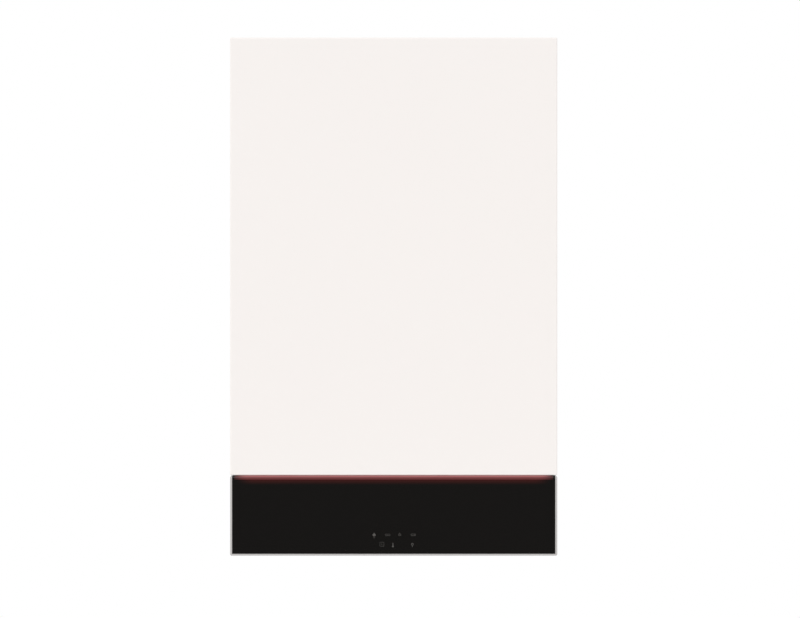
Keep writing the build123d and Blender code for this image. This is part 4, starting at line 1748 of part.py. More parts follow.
# places across and up from the middle of the board, with width, height and depth
BOARD_BLOCKS = (
    (-95.0, -5.0, 46.0, 52.0, 38.0),
    (-40.0, 22.0, 24.0, 18.0, 16.0),
    (-40.0, -20.0, 24.0, 18.0, 16.0),
    (10.0, 0.0, 36.0, 36.0, 8.0),
    (60.0, -32.0, 60.0, 16.0, 14.0),
    (105.0, 14.0, 30.0, 40.0, 22.0),
)
with BuildPart() as control_board:
    with BuildSketch(wall_plane(BOARD_BACK, 0, HOUSING_MIDDLE)):
        Rectangle(BOARD_WIDTH, BOARD_HEIGHT)
    extrude(amount=BOARD_THICKNESS)
    for block_x, block_z, block_width, block_height, block_depth in BOARD_BLOCKS:
        with BuildSketch(wall_plane(BOARD_BACK + BOARD_THICKNESS, block_x, HOUSING_MIDDLE + block_z)):
            Rectangle(block_width, block_height)
        extrude(amount=block_depth)
finish(control_board, "control_board")

EAR_END = HOUSING_HALF + EAR_THICKNESS
with BuildPart() as hinge_brackets:
    for sign in (-1, 1):
        plate_x = sign * (EAR_END + HINGE_SIDE_GAP)
        plate_start = HINGE_DEPTH - BRACKET_HALF_HEIGHT
        plate_end = FRAME_FRONT - SHEET
        with BuildSketch(cross_plane(plate_x, (plate_start + plate_end) / 2, HINGE_HEIGHT)):
            Rectangle(plate_end - plate_start, 2 * BRACKET_HALF_HEIGHT)
        extrude(amount=sign * HINGE_PLATE)
        foot_middle = plate_x + sign * BRACKET_FOOT / 2
        with BuildSketch(wall_plane(plate_end - HINGE_PLATE, foot_middle, HINGE_HEIGHT)):
            Rectangle(BRACKET_FOOT, 2 * BRACKET_HALF_HEIGHT)
        extrude(amount=HINGE_PLATE)
        with BuildSketch(cross_plane(plate_x, HINGE_DEPTH, HINGE_HEIGHT)):
            Circle(SHAFT_RADIUS)
        extrude(amount=-sign * EAR_THICKNESS)
finish(hinge_brackets, "hinge_brackets")
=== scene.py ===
import json
import math

import bmesh
import bpy
from mathutils import Matrix, Vector


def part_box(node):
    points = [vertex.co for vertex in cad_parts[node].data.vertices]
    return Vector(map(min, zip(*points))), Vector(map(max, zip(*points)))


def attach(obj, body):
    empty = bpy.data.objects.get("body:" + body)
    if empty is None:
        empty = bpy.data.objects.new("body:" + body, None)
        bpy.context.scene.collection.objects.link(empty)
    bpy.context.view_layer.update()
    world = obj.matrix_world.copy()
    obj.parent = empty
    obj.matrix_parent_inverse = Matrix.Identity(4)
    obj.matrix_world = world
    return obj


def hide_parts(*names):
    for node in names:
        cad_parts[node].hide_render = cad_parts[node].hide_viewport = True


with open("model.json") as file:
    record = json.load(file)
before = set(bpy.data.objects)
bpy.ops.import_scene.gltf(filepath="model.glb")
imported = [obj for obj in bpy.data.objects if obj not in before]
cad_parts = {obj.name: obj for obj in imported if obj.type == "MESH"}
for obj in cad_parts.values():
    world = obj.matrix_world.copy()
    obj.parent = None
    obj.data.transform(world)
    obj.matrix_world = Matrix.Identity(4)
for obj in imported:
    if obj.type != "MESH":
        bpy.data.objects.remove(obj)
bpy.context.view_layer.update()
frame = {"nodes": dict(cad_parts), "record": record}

# The boiler hangs on the wall plane y = 0 and faces -Y. All is in metres, and its top is at z = 0.09.
MM = 0.001
BOTTOM = -0.86  # z of its bottom edge
FACE = -0.5  # y of its front
HALF_WIDTH = 0.3
DOWN = (0, 0, -1)
UP = (0, 0, 1)
FRONT = (0, -1, 0)
BACK = (0, 1, 0)
X, Y, Z = 0, 1, 2
SAME = 1e-6  # two places less than this apart are one
NOISE_RANGE = (0.3, 0.7)  # nearly all values of a noise texture lie in here
WHOLE_RANGE = (0.0, 1.0)


def z_at(height):
    """The z of a height given in millimetres above the bottom edge."""
    return BOTTOM + height * MM


def at(x, depth, height):
    """A point given in millimetres: right of the middle, out from the wall, up from the bottom edge."""
    return Vector((x * MM, -depth * MM, z_at(height)))


# ---------------------------------------------------------------- shader nodes

def fill(tree, made, inputs):
    """Links each input or gives it its value, and hands back the node's outputs."""
    for key, value in inputs.items():
        if isinstance(value, bpy.types.NodeSocket):
            tree.links.new(value, made.inputs[key])
        else:
            made.inputs[key].default_value = value
    return made.outputs


def add(tree, kind, inputs=None, **settings):
    """A shader node with its settings and inputs."""
    made = tree.nodes.new("ShaderNode" + kind)
    for key, value in settings.items():
        setattr(made, key, value)
    return fill(tree, made, inputs or {})


def use(tree, shared, inputs):
    """One of the shader groups below, placed in a material with its own values."""
    made = tree.nodes.new("ShaderNodeGroup")
    made.node_tree = shared
    return fill(tree, made, inputs)


def math_node(tree, operation, first, second=0.0, third=0.0):
    return add(tree, "Math", {0: first, 1: second, 2: third}, operation=operation)[0]


def vector_node(tree, operation, first, second=(0, 0, 0), third=(0, 0, 0)):
    return add(tree, "VectorMath", {0: first, 1: second, 2: third}, operation=operation)[0]


def length(tree, vector):
    return add(tree, "VectorMath", {0: vector}, operation="LENGTH")[1]


def axes(tree, vector):
    """The x, y and z of a vector."""
    return add(tree, "SeparateXYZ", {0: vector})[:3]


def slope(tree, value, start, end, low=0.0, high=1.0):
    """low where value is below start, high above end, and a straight ramp between."""
    return add(tree, "MapRange", {0: value, 1: start, 2: end, 3: low, 4: high})[0]


def fade(tree, value, start, end, low=0.0, high=1.0):
    """low where value is below start, high above end, and a soft step between."""
    return add(tree, "MapRange", {0: value, 1: start, 2: end, 3: low, 4: high},
               interpolation_type="SMOOTHSTEP")[0]


def noise(tree, vector, scale, detail, **more):
    return add(tree, "TexNoise", {"Vector": vector, "Scale": scale, "Detail": detail, **more})[0]


def cells(tree, vector, scale, **settings):
    """Outputs of a texture of irregular cells."""
    return add(tree, "TexVoronoi", {"Vector": vector, "Scale": scale}, **settings)


def blend_colour(tree, factor, first, second):
    return add(tree, "Mix", {0: factor, 6: first, 7: second}, data_type="RGBA")[2]


def rgb(red, green, blue):
    return (red, green, blue, 1.0)


def lighter(colour, factor, lift=0.0):
    return rgb(*(min(1.0, c * factor + lift) for c in colour))


# ---------------------------------------------------------------- shader groups

def group(name, inputs, outputs):
    """A new shader node group, with what it is given and what it puts out."""
    tree = bpy.data.node_groups.new(name, "ShaderNodeTree")
    for label, kind, value in inputs:
        socket = tree.interface.new_socket(label, in_out="INPUT", socket_type="NodeSocket" + kind)
        if value is not None:
            socket.default_value = value
    for label, kind in outputs:
        tree.interface.new_socket(label, in_out="OUTPUT", socket_type="NodeSocket" + kind)
    return tree, tree.nodes.new("NodeGroupInput").outputs, tree.nodes.new("NodeGroupOutput").inputs


def make_colour_drift():
    """Slow change of a colour towards a second one, as paint, metal and plastic have over a large piece."""
    tree, given, out = group(
        "colour drift",
        [("Vector", "Vector", None), ("Colour", "Color", (1, 1, 1, 1)), ("Shade", "Color", (0, 0, 0, 1)),
         ("Scale", "Float", 20.0), ("Amount", "Float", 0.5)],
        [("Colour", "Color"), ("Value", "Float")])
    broad = noise(tree, given["Vector"], given["Scale"], 4.0)
    value = slope(tree, broad, *NOISE_RANGE, 0.0, given["Amount"])
    tree.links.new(blend_colour(tree, value, given["Colour"], given["Shade"]), out["Colour"])
    tree.links.new(broad, out["Value"])
    return tree


def make_fine_skin():
    """Close bumps of one size with a finer one on them: powder coat, spark-eroded plastic, rubber."""
    tree, given, out = group("fine skin", [("Vector", "Vector", None), ("Scale", "Float", 500.0)],
                             [("Height", "Float")])
    coarse = noise(tree, given["Vector"], given["Scale"], 2.0)
    finer = noise(tree, given["Vector"], math_node(tree, "MULTIPLY", given["Scale"], 3.1), 1.0)
    tree.links.new(math_node(tree, "MULTIPLY_ADD", finer, 0.35, coarse), out["Height"])
    return tree


def make_drawn_lines():
    """Fine lines along the way a sheet was rolled or a tube was drawn. Stretch is small along the lines."""
    tree, given, out = group(
        "drawn lines",
        [("Vector", "Vector", None), ("Stretch", "Vector", (1.0, 1.0, 1.0)), ("Scale", "Float", 300.0)],
        [("Mask", "Float")])
    stretched = vector_node(tree, "MULTIPLY", given["Vector"], given["Stretch"])
    lines = noise(tree, stretched, given["Scale"], 3.0)
    tree.links.new(slope(tree, lines, *NOISE_RANGE), out["Mask"])
    return tree


def make_zinc_spangle():
    """Crystals of a hot-dip zinc coat: each has its own grey, with a fine edge between them."""
    tree, given, out = group("zinc spangle", [("Vector", "Vector", None), ("Scale", "Float", 130.0)],
                             [("Mask", "Float"), ("Height", "Float")])
    bend = add(tree, "TexNoise", {"Vector": given["Vector"], "Scale": 90.0, "Detail": 2.0})[1]
    bent = vector_node(tree, "MULTIPLY_ADD", bend, (6 * MM, 6 * MM, 6 * MM), given["Vector"])
    crystal = cells(tree, bent, given["Scale"])[1]
    tree.links.new(add(tree, "SeparateColor", {0: crystal})[0], out["Mask"])
    edge = cells(tree, bent, given["Scale"], feature="DISTANCE_TO_EDGE")[0]
    tree.links.new(fade(tree, edge, 0.0, 0.12), out["Height"])
    return tree


def make_cast_skin():
    """The grainy face that a die or a sand mould leaves, with a few shallow pits."""
    tree, given, out = group("cast skin", [("Vector", "Vector", None), ("Scale", "Float", 260.0)],
                             [("Height", "Float")])
    grain = noise(tree, given["Vector"], given["Scale"], 4.0, Roughness=0.65)
    pits = fade(tree, cells(tree, given["Vector"], given["Scale"])[0], 0.08, 0.3)
    tree.links.new(math_node(tree, "MULTIPLY_ADD", pits, 0.25, grain), out["Height"])
    return tree


def make_foam_beads():
    """Expanded beads pressed against each other in a mould."""
    tree, given, out = group("foam beads", [("Vector", "Vector", None), ("Scale", "Float", 240.0)],
                             [("Height", "Float"), ("Seam", "Float")])
    edge = cells(tree, given["Vector"], given["Scale"], feature="DISTANCE_TO_EDGE")[0]
    tree.links.new(fade(tree, edge, 0.0, 0.28), out["Height"])
    tree.links.new(fade(tree, edge, 0.0, 0.09, 1.0, 0.0), out["Seam"])
    return tree


def make_laid_fibres():
    """Fibres that lie in all directions, as in felt and fibre board: three layers, the highest on top."""
    tree, given, out = group("laid fibres", [("Vector", "Vector", None), ("Scale", "Float", 260.0)],
                             [("Height", "Float")])
    top = None
    for turn in (0.4, 1.5, 2.6):
        turned = add(tree, "Mapping", {"Vector": given["Vector"], "Rotation": (turn, turn * 0.7, turn),
                                       "Scale": (1.0, 0.12, 1.0)})[0]
        layer = noise(tree, turned, given["Scale"], 2.0, Distortion=0.6)
        top = layer if top is None else math_node(tree, "MAXIMUM", top, layer)
    tree.links.new(top, out["Height"])
    return tree


def make_printed_outline():
    """A printed line round a rectangle with rounded corners, on the XZ plane.

    Half sizes of 0 leave a ring.
    """
    tree, given, out = group(
        "printed outline",
        [("Vector", "Vector", None), ("Centre", "Vector", (0, 0, 0)), ("Half", "Vector", (0, 0, 0)),
         ("Radius", "Float", 0.002), ("Line", "Float", 0.0004)],
        [("Mask", "Float")])
    away = vector_node(tree, "ABSOLUTE", vector_node(tree, "SUBTRACT", given["Vector"], given["Centre"]))
    past = vector_node(tree, "MAXIMUM", vector_node(tree, "SUBTRACT", away, given["Half"]))
    reach = length(tree, vector_node(tree, "MULTIPLY", past, (1, 0, 1)))
    off = math_node(tree, "ABSOLUTE", math_node(tree, "SUBTRACT", reach, given["Radius"]))
    over = math_node(tree, "SUBTRACT", off, given["Line"])
    tree.links.new(slope(tree, over, -0.1 * MM, 0.1 * MM, 1.0, 0.0), out["Mask"])
    return tree


COLOUR_DRIFT = make_colour_drift()
FINE_SKIN = make_fine_skin()
DRAWN_LINES = make_drawn_lines()
ZINC_SPANGLE = make_zinc_spangle()
CAST_SKIN = make_cast_skin()
FOAM_BEADS = make_foam_beads()
LAID_FIBRES = make_laid_fibres()
PRINTED_OUTLINE = make_printed_outline()


# ---------------------------------------------------------------- finishes

def finish(name, **constants):
    """A material with a Principled shader, whose constants are set on its own sockets."""
    material = bpy.data.materials.new(name)
    material.use_nodes = True
    tree = material.node_tree
    tree.nodes.clear()
    shader = tree.nodes.new("ShaderNodeBsdfPrincipled")
    output = tree.nodes.new("ShaderNodeOutputMaterial")
    tree.links.new(shader.outputs[0], output.inputs["Surface"])
    for key, value in constants.items():
        shader.inputs[key.replace("_", " ")].default_value = value
    place = add(tree, "TexCoord")["Object"]
    return material, tree, shader.inputs, place


def bump(tree, sockets, height, depth):
    """Relief of that depth in metres."""
    normal = add(tree, "Bump", {"Height": height, "Distance": depth, "Strength": 1.0})[0]
    tree.links.new(normal, sockets["Normal"])


def roughen(tree, sockets, value, given_range, low, high):
    """Roughness that goes from low to high as the value goes through its range."""
    tree.links.new(fade(tree, value, *given_range, low, high), sockets["Roughness"])


def drifting(tree, place, colour, shade, scale, amount):
    """Outputs of the colour drift: the colour and the drift's own value."""
    return use(tree, COLOUR_DRIFT, {"Vector": place, "Colour": rgb(*colour), "Shade": rgb(*shade),
                                    "Scale": scale, "Amount": amount})


def drift(tree, sockets, place, colour, shade, scale, amount):
    """Links a drifting colour and hands back the drift's value."""
    outs = drifting(tree, place, colour, shade, scale, amount)
    tree.links.new(outs["Colour"], sockets["Base Color"])
    return outs["Value"]


def skinned(name, colour, shade, roughness, drift_scale, amount, grain, depth):
    """A drifting colour and roughness under a fine skin, as paints, plastics and rubbers have."""
    material, tree, sockets, place = finish(name)
    value = drift(tree, sockets, place, colour, shade, drift_scale, amount)
    roughen(tree, sockets, value, NOISE_RANGE, *roughness)
    bump(tree, sockets, use(tree, FINE_SKIN, {"Vector": place, "Scale": grain})["Height"], depth)
    return material


def painted(name, colour, shade, roughness, peel=420.0, depth=0.04 * MM):
    """Powder coat or gloss paint on sheet steel, with its orange peel."""
    return skinned(name, colour, shade, roughness, 5.0, 0.35, peel, depth)


def moulded(name, colour, shade, roughness, grain=700.0, depth=0.04 * MM):
    """Injection-moulded plastic or rubber, with the fine texture of its mould."""
    return skinned(name, colour, shade, roughness, 30.0, 0.5, grain, depth)


def galvanised(name, colour, shade):
    """Hot-dip zinc on sheet steel."""
    material, tree, sockets, place = finish(name, Metallic=0.82)
    zinc = use(tree, ZINC_SPANGLE, {"Vector": place, "Scale": 130.0})
    broad = drifting(tree, place, colour, shade, 9.0, 0.5)["Colour"]
    crystals = math_node(tree, "MULTIPLY", zinc["Mask"], 0.3)
    tree.links.new(blend_colour(tree, crystals, broad, lighter(colour, 1.28)), sockets["Base Color"])
    roughen(tree, sockets, zinc["Mask"], WHOLE_RANGE, 0.34, 0.52)
    bump(tree, sockets, zinc["Height"], 0.02 * MM)
    return material


def bare_metal(name, colour, shade, roughness, stretch, lines=420.0, drift_scale=16.0, amount=0.5):
    """Rolled or drawn metal, with lines along its working."""
    material, tree, sockets, place = finish(name, Metallic=1.0)
    drift(tree, sockets, place, colour, shade, drift_scale, amount)
    mask = use(tree, DRAWN_LINES, {"Vector": place, "Stretch": stretch, "Scale": lines})["Mask"]
    roughen(tree, sockets, mask, WHOLE_RANGE, *roughness)
    bump(tree, sockets, mask, 0.003 * MM)
    return material


def cast_metal(name, colour, shade, roughness, metallic, scale=260.0, depth=0.1 * MM):
    """A die-cast or sand-cast face, rougher in its pits."""
    material, tree, sockets, place = finish(name, Metallic=metallic)
    drift(tree, sockets, place, colour, shade, 24.0, 0.55)
    height = use(tree, CAST_SKIN, {"Vector": place, "Scale": scale})["Height"]
    smooth, rough = roughness
    roughen(tree, sockets, height, (0.3, 0.9), rough, smooth)
    bump(tree, sockets, height, depth)
    return material


def bead_foam():
    """Moulded bead foam: pressed white beads with finer, darker seams between them."""
    material, tree, sockets, place = finish("white bead foam")
    broad = drifting(tree, place, (0.86, 0.86, 0.84), (0.76, 0.77, 0.76), 14.0, 0.6)["Colour"]
    beads = use(tree, FOAM_BEADS, {"Vector": place, "Scale": 210.0})
    seams = math_node(tree, "MULTIPLY", beads["Seam"], 0.5)
    tree.links.new(blend_colour(tree, seams, broad, rgb(0.55, 0.56, 0.56)), sockets["Base Color"])
    roughen(tree, sockets, beads["Height"], WHOLE_RANGE, 0.9, 0.62)
    bump(tree, sockets, beads["Height"], 0.4 * MM)
    return material


def fibre_face(name, colour, shade, scale, depth, sheen=0.0):
    """Felt or fibre board: paler raised fibres over a broad drift of colour."""
    material, tree, sockets, place = finish(name, Roughness=0.95, Sheen_Weight=sheen)
    broad = drifting(tree, place, colour, shade, 12.0, 0.6)["Colour"]
    fibres = use(tree, LAID_FIBRES, {"Vector": place, "Scale": scale})["Height"]
    raised = fade(tree, fibres, 0.45, 0.75, 0.0, 0.6)
    tree.links.new(blend_colour(tree, raised, broad, lighter(colour, 1.7, 0.01)), sockets["Base Color"])
    bump(tree, sockets, fibres, depth)
    return material


# Rings, bars and frames as touch panels carry. Each has its x and height, half width, half height,
# corner radius and line in millimetres, and its strength.
TOUCH_SYMBOLS = (
    (-35.8, 38.4, 0.0, 0.0, 1.9, 0.5, 0.9), (-35.8, 41.2, 0.0, 1.0, 0.0, 0.42, 0.5),
    (-35.8, 33.2, 1.3, 0.0, 0.0, 0.36, 0.4),
    (-11.0, 38.5, 3.6, 0.9, 0.6, 0.3, 0.34), (-11.0, 38.5, 0.0, 1.2, 0.0, 0.3, 0.3),
    (11.0, 38.6, 0.0, 0.0, 1.9, 0.34, 0.42), (11.0, 41.8, 0.0, 0.6, 0.0, 0.3, 0.35),
    (35.4, 38.6, 2.6, 0.6, 0.9, 0.34, 0.38), (39.4, 38.6, 0.0, 1.5, 0.0, 0.4, 0.38),
    (-21.6, 21.4, 2.8, 2.8, 0.9, 0.34, 0.3), (-21.6, 21.4, 0.0, 1.2, 0.0, 0.4, 0.28),
    (-1.4, 21.0, 0.0, 2.2, 0.0, 0.6, 0.62), (-1.4, 17.4, 0.0, 0.0, 1.0, 0.5, 0.6),
    (34.2, 21.2, 0.0, 0.0, 1.8, 0.5, 0.45), (34.2, 17.6, 0.0, 0.9, 0.0, 0.5, 0.45),
)


def touch_print(tree, place):
    """Mask of all touch symbols, each at its own strength."""
    mask = None
    for x, height, half_x, half_z, radius, line, strength in TOUCH_SYMBOLS:
        outline = use(tree, PRINTED_OUTLINE, {
            "Vector": place, "Centre": (x * MM, 0.0, z_at(height)),
            "Half": (half_x * MM, 0.0, half_z * MM), "Radius": radius * MM, "Line": line * MM})["Mask"]
        faint = math_node(tree, "MULTIPLY", outline, strength)
        mask = faint if mask is None else math_node(tree, "MAXIMUM", mask, faint)
    return mask


def gloss_fascia():
    """Back-printed black gloss panel: painted highlight on its rim, touch symbols, a glow under the light
    strip.
    """
    material, tree, sockets, place = finish("black gloss fascia", Roughness=0.06, Emission_Strength=1.0)
    x, y, z = axes(tree, place)
    from_middle = math_node(tree, "ABSOLUTE", x)
    black = drifting(tree, place, (0.0042, 0.0034, 0.0028), (0.0032, 0.0028, 0.0025), 4.0, 0.5)["Colour"]

    # The painted highlight, a pale rim, runs round the two ends and the bottom, over the front few
    # millimetres.
    ends = fade(tree, from_middle, HALF_WIDTH - 4.4 * MM, HALF_WIDTH - 3.4 * MM)
    bottom = fade(tree, z, z_at(3.2), z_at(4.2), 1.0, 0.0)
    front_part = fade(tree, y, FACE + 5 * MM, FACE + 6 * MM, 1.0, 0.0)
    edge = math_node(tree, "MULTIPLY", math_node(tree, "MAXIMUM", ends, bottom), front_part)
    colour = blend_colour(tree, edge, black, rgb(0.52, 0.50, 0.49))

    on_face = fade(tree, y, FACE + 0.4 * MM, FACE + 1.0 * MM, 1.0, 0.0)
    symbols = math_node(tree, "MULTIPLY", touch_print(tree, place), on_face)
    tree.links.new(blend_colour(tree, symbols, colour, rgb(0.20, 0.19, 0.18)), sockets["Base Color"])

    # Light from the strip creeps about a centimetre down inside the panel.
    below = fade(tree, z, z_at(129), z_at(140.5))
    along = fade(tree, from_middle, 255 * MM, 290 * MM, 1.0, 0.0)
    glow = math_node(tree, "MULTIPLY", math_node(tree, "MULTIPLY", below, along), on_face)
    light = blend_colour(tree, glow, rgb(0, 0, 0), rgb(0.038, 0.0040, 0.0034))
    tree.links.new(light, sockets["Emission Color"])
    return material


def lit_strip():
    """The red diffuser, brightest along its top edge and fading out near both ends."""
    material, tree, sockets, place = finish("lit red diffuser", Roughness=0.3, Emission_Strength=1.0)
    x, _, z = axes(tree, place)
    along = fade(tree, math_node(tree, "ABSOLUTE", x), 268 * MM, 300 * MM, 1.0, 0.0)
    upper = fade(tree, z, z_at(143.7), z_at(145.1))
    lamps = noise(tree, place, 9.0, 2.0)
    uneven = math_node(tree, "MULTIPLY", along, fade(tree, lamps, *NOISE_RANGE, 0.92, 1.0))
    # The paler, pinker top of the colour and of the light is painted light: white light falling on the
    # strip's top edge.
    colour = blend_colour(tree, upper, rgb(0.05, 0.008, 0.008), rgb(0.14, 0.05, 0.05))
    tree.links.new(blend_colour(tree, along, rgb(0.006, 0.002, 0.002), colour), sockets["Base Color"])
    light = blend_colour(tree, upper, rgb(0.10, 0.022, 0.023), rgb(0.26, 0.085, 0.085))
    tree.links.new(blend_colour(tree, uneven, rgb(0, 0, 0), light), sockets["Emission Color"])
    return material


def circuit_board():
    """Green board with its lacquer and tracks; what stands on it has the colours of its components."""
    material, tree, sockets, place = finish("circuit board", Coat_Weight=0.2)
    x, y, _ = axes(tree, place)
    green = drifting(tree, place, (0.02, 0.13, 0.06), (0.012, 0.09, 0.045), 30.0, 0.7)["Colour"]
    upright = add(tree, "Mapping", {"Vector": place, "Rotation": (math.radians(90), 0, 0)})[0]
    tracks = add(tree, "TexBrick", {"Vector": upright, "Scale": 55.0, "Mortar Size": 0.03})[1]
    green = blend_colour(tree, math_node(tree, "MULTIPLY", tracks, 0.35), green, rgb(0.04, 0.2, 0.1))

    components = add(tree, "ValToRGB", {0: slope(tree, x, -150 * MM, 150 * MM)})[0]
    stops = components.node.color_ramp
    stops.interpolation = "CONSTANT"
    stops.elements[0].color = rgb(0.02, 0.02, 0.022)
    stops.elements[1].position = 0.82
    stops.elements[1].color = rgb(0.75, 0.75, 0.72)
    for position, colour in ((0.22, (0.03, 0.06, 0.16)), (0.42, (0.55, 0.42, 0.08)),
                             (0.6, (0.02, 0.02, 0.022))):
        stops.elements.new(position).color = rgb(*colour)

    board_middle = 406.8 * MM
    from_middle = math_node(tree, "ABSOLUTE", math_node(tree, "ADD", y, board_middle))
    off_board = fade(tree, from_middle, 0.95 * MM, 1.1 * MM)
    tree.links.new(blend_colour(tree, off_board, green, components), sockets["Base Color"])
    roughen(tree, sockets, off_board, WHOLE_RANGE, 0.3, 0.5)
    bump(tree, sockets, tracks, 0.03 * MM)
    return material


def flame_tube():
    """The burner's steel skin: rings of small holes, blued and browned by heat."""
    material, tree, sockets, place = finish("perforated burner skin", Metallic=0.9)
    holes_in_ring = 44.0
    radians_per_metre = 1300.0  # a ring of holes each 2.4 mm, turned by half a hole from the last
    centred = add(tree, "Mapping", {"Vector": place, "Location": (160 * MM, 0.0, 170 * MM)})[0]
    x, y, z = axes(tree, centred)
    round_tube = math_node(tree, "MULTIPLY", math_node(tree, "ARCTAN2", z, x), holes_in_ring)
    along_tube = math_node(tree, "MULTIPLY", y, radians_per_metre)
    pattern = math_node(tree, "MULTIPLY", math_node(tree, "SINE", round_tube),
                        math_node(tree, "SINE", along_tube))
    holes = fade(tree, pattern, 0.45, 0.62)
    burnt = drifting(tree, place, (0.46, 0.40, 0.33), (0.20, 0.19, 0.24), 28.0, 0.9)
    # The holes are painted nearly black: painted shade inside them.
    tree.links.new(blend_colour(tree, holes, burnt["Colour"], rgb(0.01, 0.01, 0.01)), sockets["Base Color"])
    roughen(tree, sockets, burnt["Value"], NOISE_RANGE, 0.3, 0.55)
    bump(tree, sockets, math_node(tree, "SUBTRACT", 1.0, holes), 0.3 * MM)
    return material


def electrode_pair():
    """White glazed ceramic outside the chamber, bare steel rods inside it."""
    material, tree, sockets, place = finish("ceramic and steel electrodes")
    _, y, _ = axes(tree, place)
    steel = fade(tree, y, -270.5 * MM, -269.5 * MM)
    glaze = drifting(tree, place, (0.84, 0.83, 0.79), (0.72, 0.69, 0.62), 60.0, 0.6)["Colour"]
    tree.links.new(blend_colour(tree, steel, glaze, rgb(0.42, 0.38, 0.34)), sockets["Base Color"])
    tree.links.new(steel, sockets["Metallic"])
    roughen(tree, sockets, steel, WHOLE_RANGE, 0.18, 0.45)
    bump(tree, sockets, use(tree, FINE_SKIN, {"Vector": place, "Scale": 900.0})["Height"], 0.02 * MM)
    return material


WHITE_ENAMEL = painted("white powder coat", (0.935, 0.893, 0.867), (0.915, 0.874, 0.848), (0.36, 0.44))
GALVANISED = galvanised("galvanised sheet", (0.55, 0.57, 0.59), (0.45, 0.47, 0.49))
STAINLESS = bare_metal("stainless steel sheet", (0.68, 0.67, 0.66), (0.56, 0.55, 0.54), (0.26, 0.36),
                       (1.0, 0.06, 1.0))
COIL_STEEL = bare_metal("stainless coil tube", (0.66, 0.63, 0.58), (0.50, 0.40, 0.30), (0.2, 0.34),
                        (1.0, 1.0, 1.0), drift_scale=26.0, amount=0.8)
TANK_STEEL = bare_metal("pickled tank steel", (0.60, 0.60, 0.60), (0.46, 0.46, 0.46), (0.34, 0.5),
                        (1.0, 1.0, 0.05))
SPINDLE_STEEL = bare_metal("turned spindle steel", (0.70, 0.70, 0.69), (0.6, 0.6, 0.6), (0.15, 0.25),
                           (0.05, 1.0, 1.0))
ALUMINIUM = cast_metal("die-cast aluminium", (0.62, 0.63, 0.64), (0.50, 0.51, 0.52), (0.34, 0.52), 0.9)
IMPELLER_METAL = bare_metal("turned aluminium", (0.68, 0.69, 0.70), (0.58, 0.59, 0.6), (0.2, 0.34),
                            (1.0, 0.05, 1.0))
BRASS = bare_metal("machined brass", (0.66, 0.48, 0.21), (0.50, 0.34, 0.14), (0.2, 0.34),
                   (1.0, 1.0, 0.05), drift_scale=40.0)
COPPER = bare_metal("copper tube", (0.72, 0.40, 0.26), (0.52, 0.25, 0.15), (0.24, 0.33),
                    (1.0, 1.0, 0.25), lines=160.0, drift_scale=22.0, amount=0.7)
ZINC_STEEL = bare_metal("zinc-plated steel", (0.62, 0.63, 0.62), (0.52, 0.52, 0.48), (0.24, 0.36),
                        (1.0, 1.0, 1.0), drift_scale=120.0)
BLACK_IRON = cast_metal("black coated cast iron", (0.035, 0.035, 0.037), (0.022, 0.022, 0.024), (0.4, 0.6),
                        0.35, scale=200.0, depth=0.2 * MM)
VESSEL_RED = painted("red vessel paint", (0.42, 0.022, 0.016), (0.34, 0.018, 0.013), (0.22, 0.32),
                     peel=260.0, depth=0.1 * MM)
BLACK_PLASTIC = moulded("matt black plastic", (0.030, 0.030, 0.032), (0.022, 0.022, 0.024), (0.42, 0.55))
GREY_PLASTIC = moulded("matt grey plastic", (0.30, 0.31, 0.32), (0.25, 0.26, 0.27), (0.4, 0.52))
WHITE_PLASTIC = moulded("matt white plastic", (0.80, 0.80, 0.77), (0.74, 0.74, 0.71), (0.38, 0.5))
SWITCH_PLASTIC = moulded("switch plastic", (0.035, 0.035, 0.036), (0.028, 0.028, 0.03), (0.24, 0.32),
                         grain=1200.0)
KNOB_RED = moulded("red knob plastic", (0.50, 0.02, 0.015), (0.40, 0.015, 0.012), (0.3, 0.4))
RUBBER = moulded("black rubber", (0.022, 0.022, 0.022), (0.03, 0.03, 0.03), (0.6, 0.75),
                 grain=420.0, depth=0.06 * MM)
SEAL_FOAM = moulded("closed-cell foam rubber", (0.045, 0.045, 0.048), (0.032, 0.032, 0.034), (0.85, 0.95),
                    grain=900.0, depth=0.2 * MM)
STRAP_PLASTIC = moulded("woven polypropylene strap", (0.05, 0.05, 0.052), (0.035, 0.035, 0.037), (0.45, 0.6),
                        grain=1100.0, depth=0.1 * MM)
FELT = fibre_face("sound-deadening felt", (0.055, 0.055, 0.060), (0.035, 0.035, 0.040), 330.0, 0.5 * MM, 0.3)
FIBRE_BOARD = fibre_face("ceramic fibre board", (0.78, 0.75, 0.68), (0.68, 0.64, 0.56), 260.0, 0.3 * MM)
BEAD_FOAM = bead_foam()
FASCIA = gloss_fascia()
STRIP = lit_strip()
BOARD = circuit_board()
BURNER = flame_tube()
ELECTRODES = electrode_pair()

SLOT_FINISH = {
    "white_enamel": WHITE_ENAMEL, "galvanised": GALVANISED, "stainless": STAINLESS, "aluminium": ALUMINIUM,
    "brass": BRASS, "copper": COPPER, "black_gloss": FASCIA, "red_light": STRIP,
    "black_plastic": BLACK_PLASTIC, "grey_plastic": GREY_PLASTIC, "white_plastic": WHITE_PLASTIC,
    "circuit_green": BOARD, "foam_white": BEAD_FOAM, "foam_dark": SEAL_FOAM, "felt_dark": FELT,
    "rubber": RUBBER, "vessel_red": VESSEL_RED, "ceramic": FIBRE_BOARD, "black_iron": BLACK_IRON,
}
NODE_FINISH = {
    "burner_cylinder": BURNER, "electrodes": ELECTRODES, "heat_exchanger_coil": COIL_STEEL,
    "storage_tank": TANK_STEEL, "diverter_spindle": SPINDLE_STEEL, "fan_impeller": IMPELLER_METAL,
    "safety_valve_knob": KNOB_RED, "mains_switch": SWITCH_PLASTIC, "door_nuts": ZINC_STEEL,
}
for entry in frame["record"]["subparts"]:
    piece = frame["nodes"][entry["node"]]
    piece.data.materials.clear()
    piece.data.materials.append(NODE_FINISH.get(entry["node"], SLOT_FINISH[entry["material_slot"]]))


# ---------------------------------------------------------------- modelling helpers

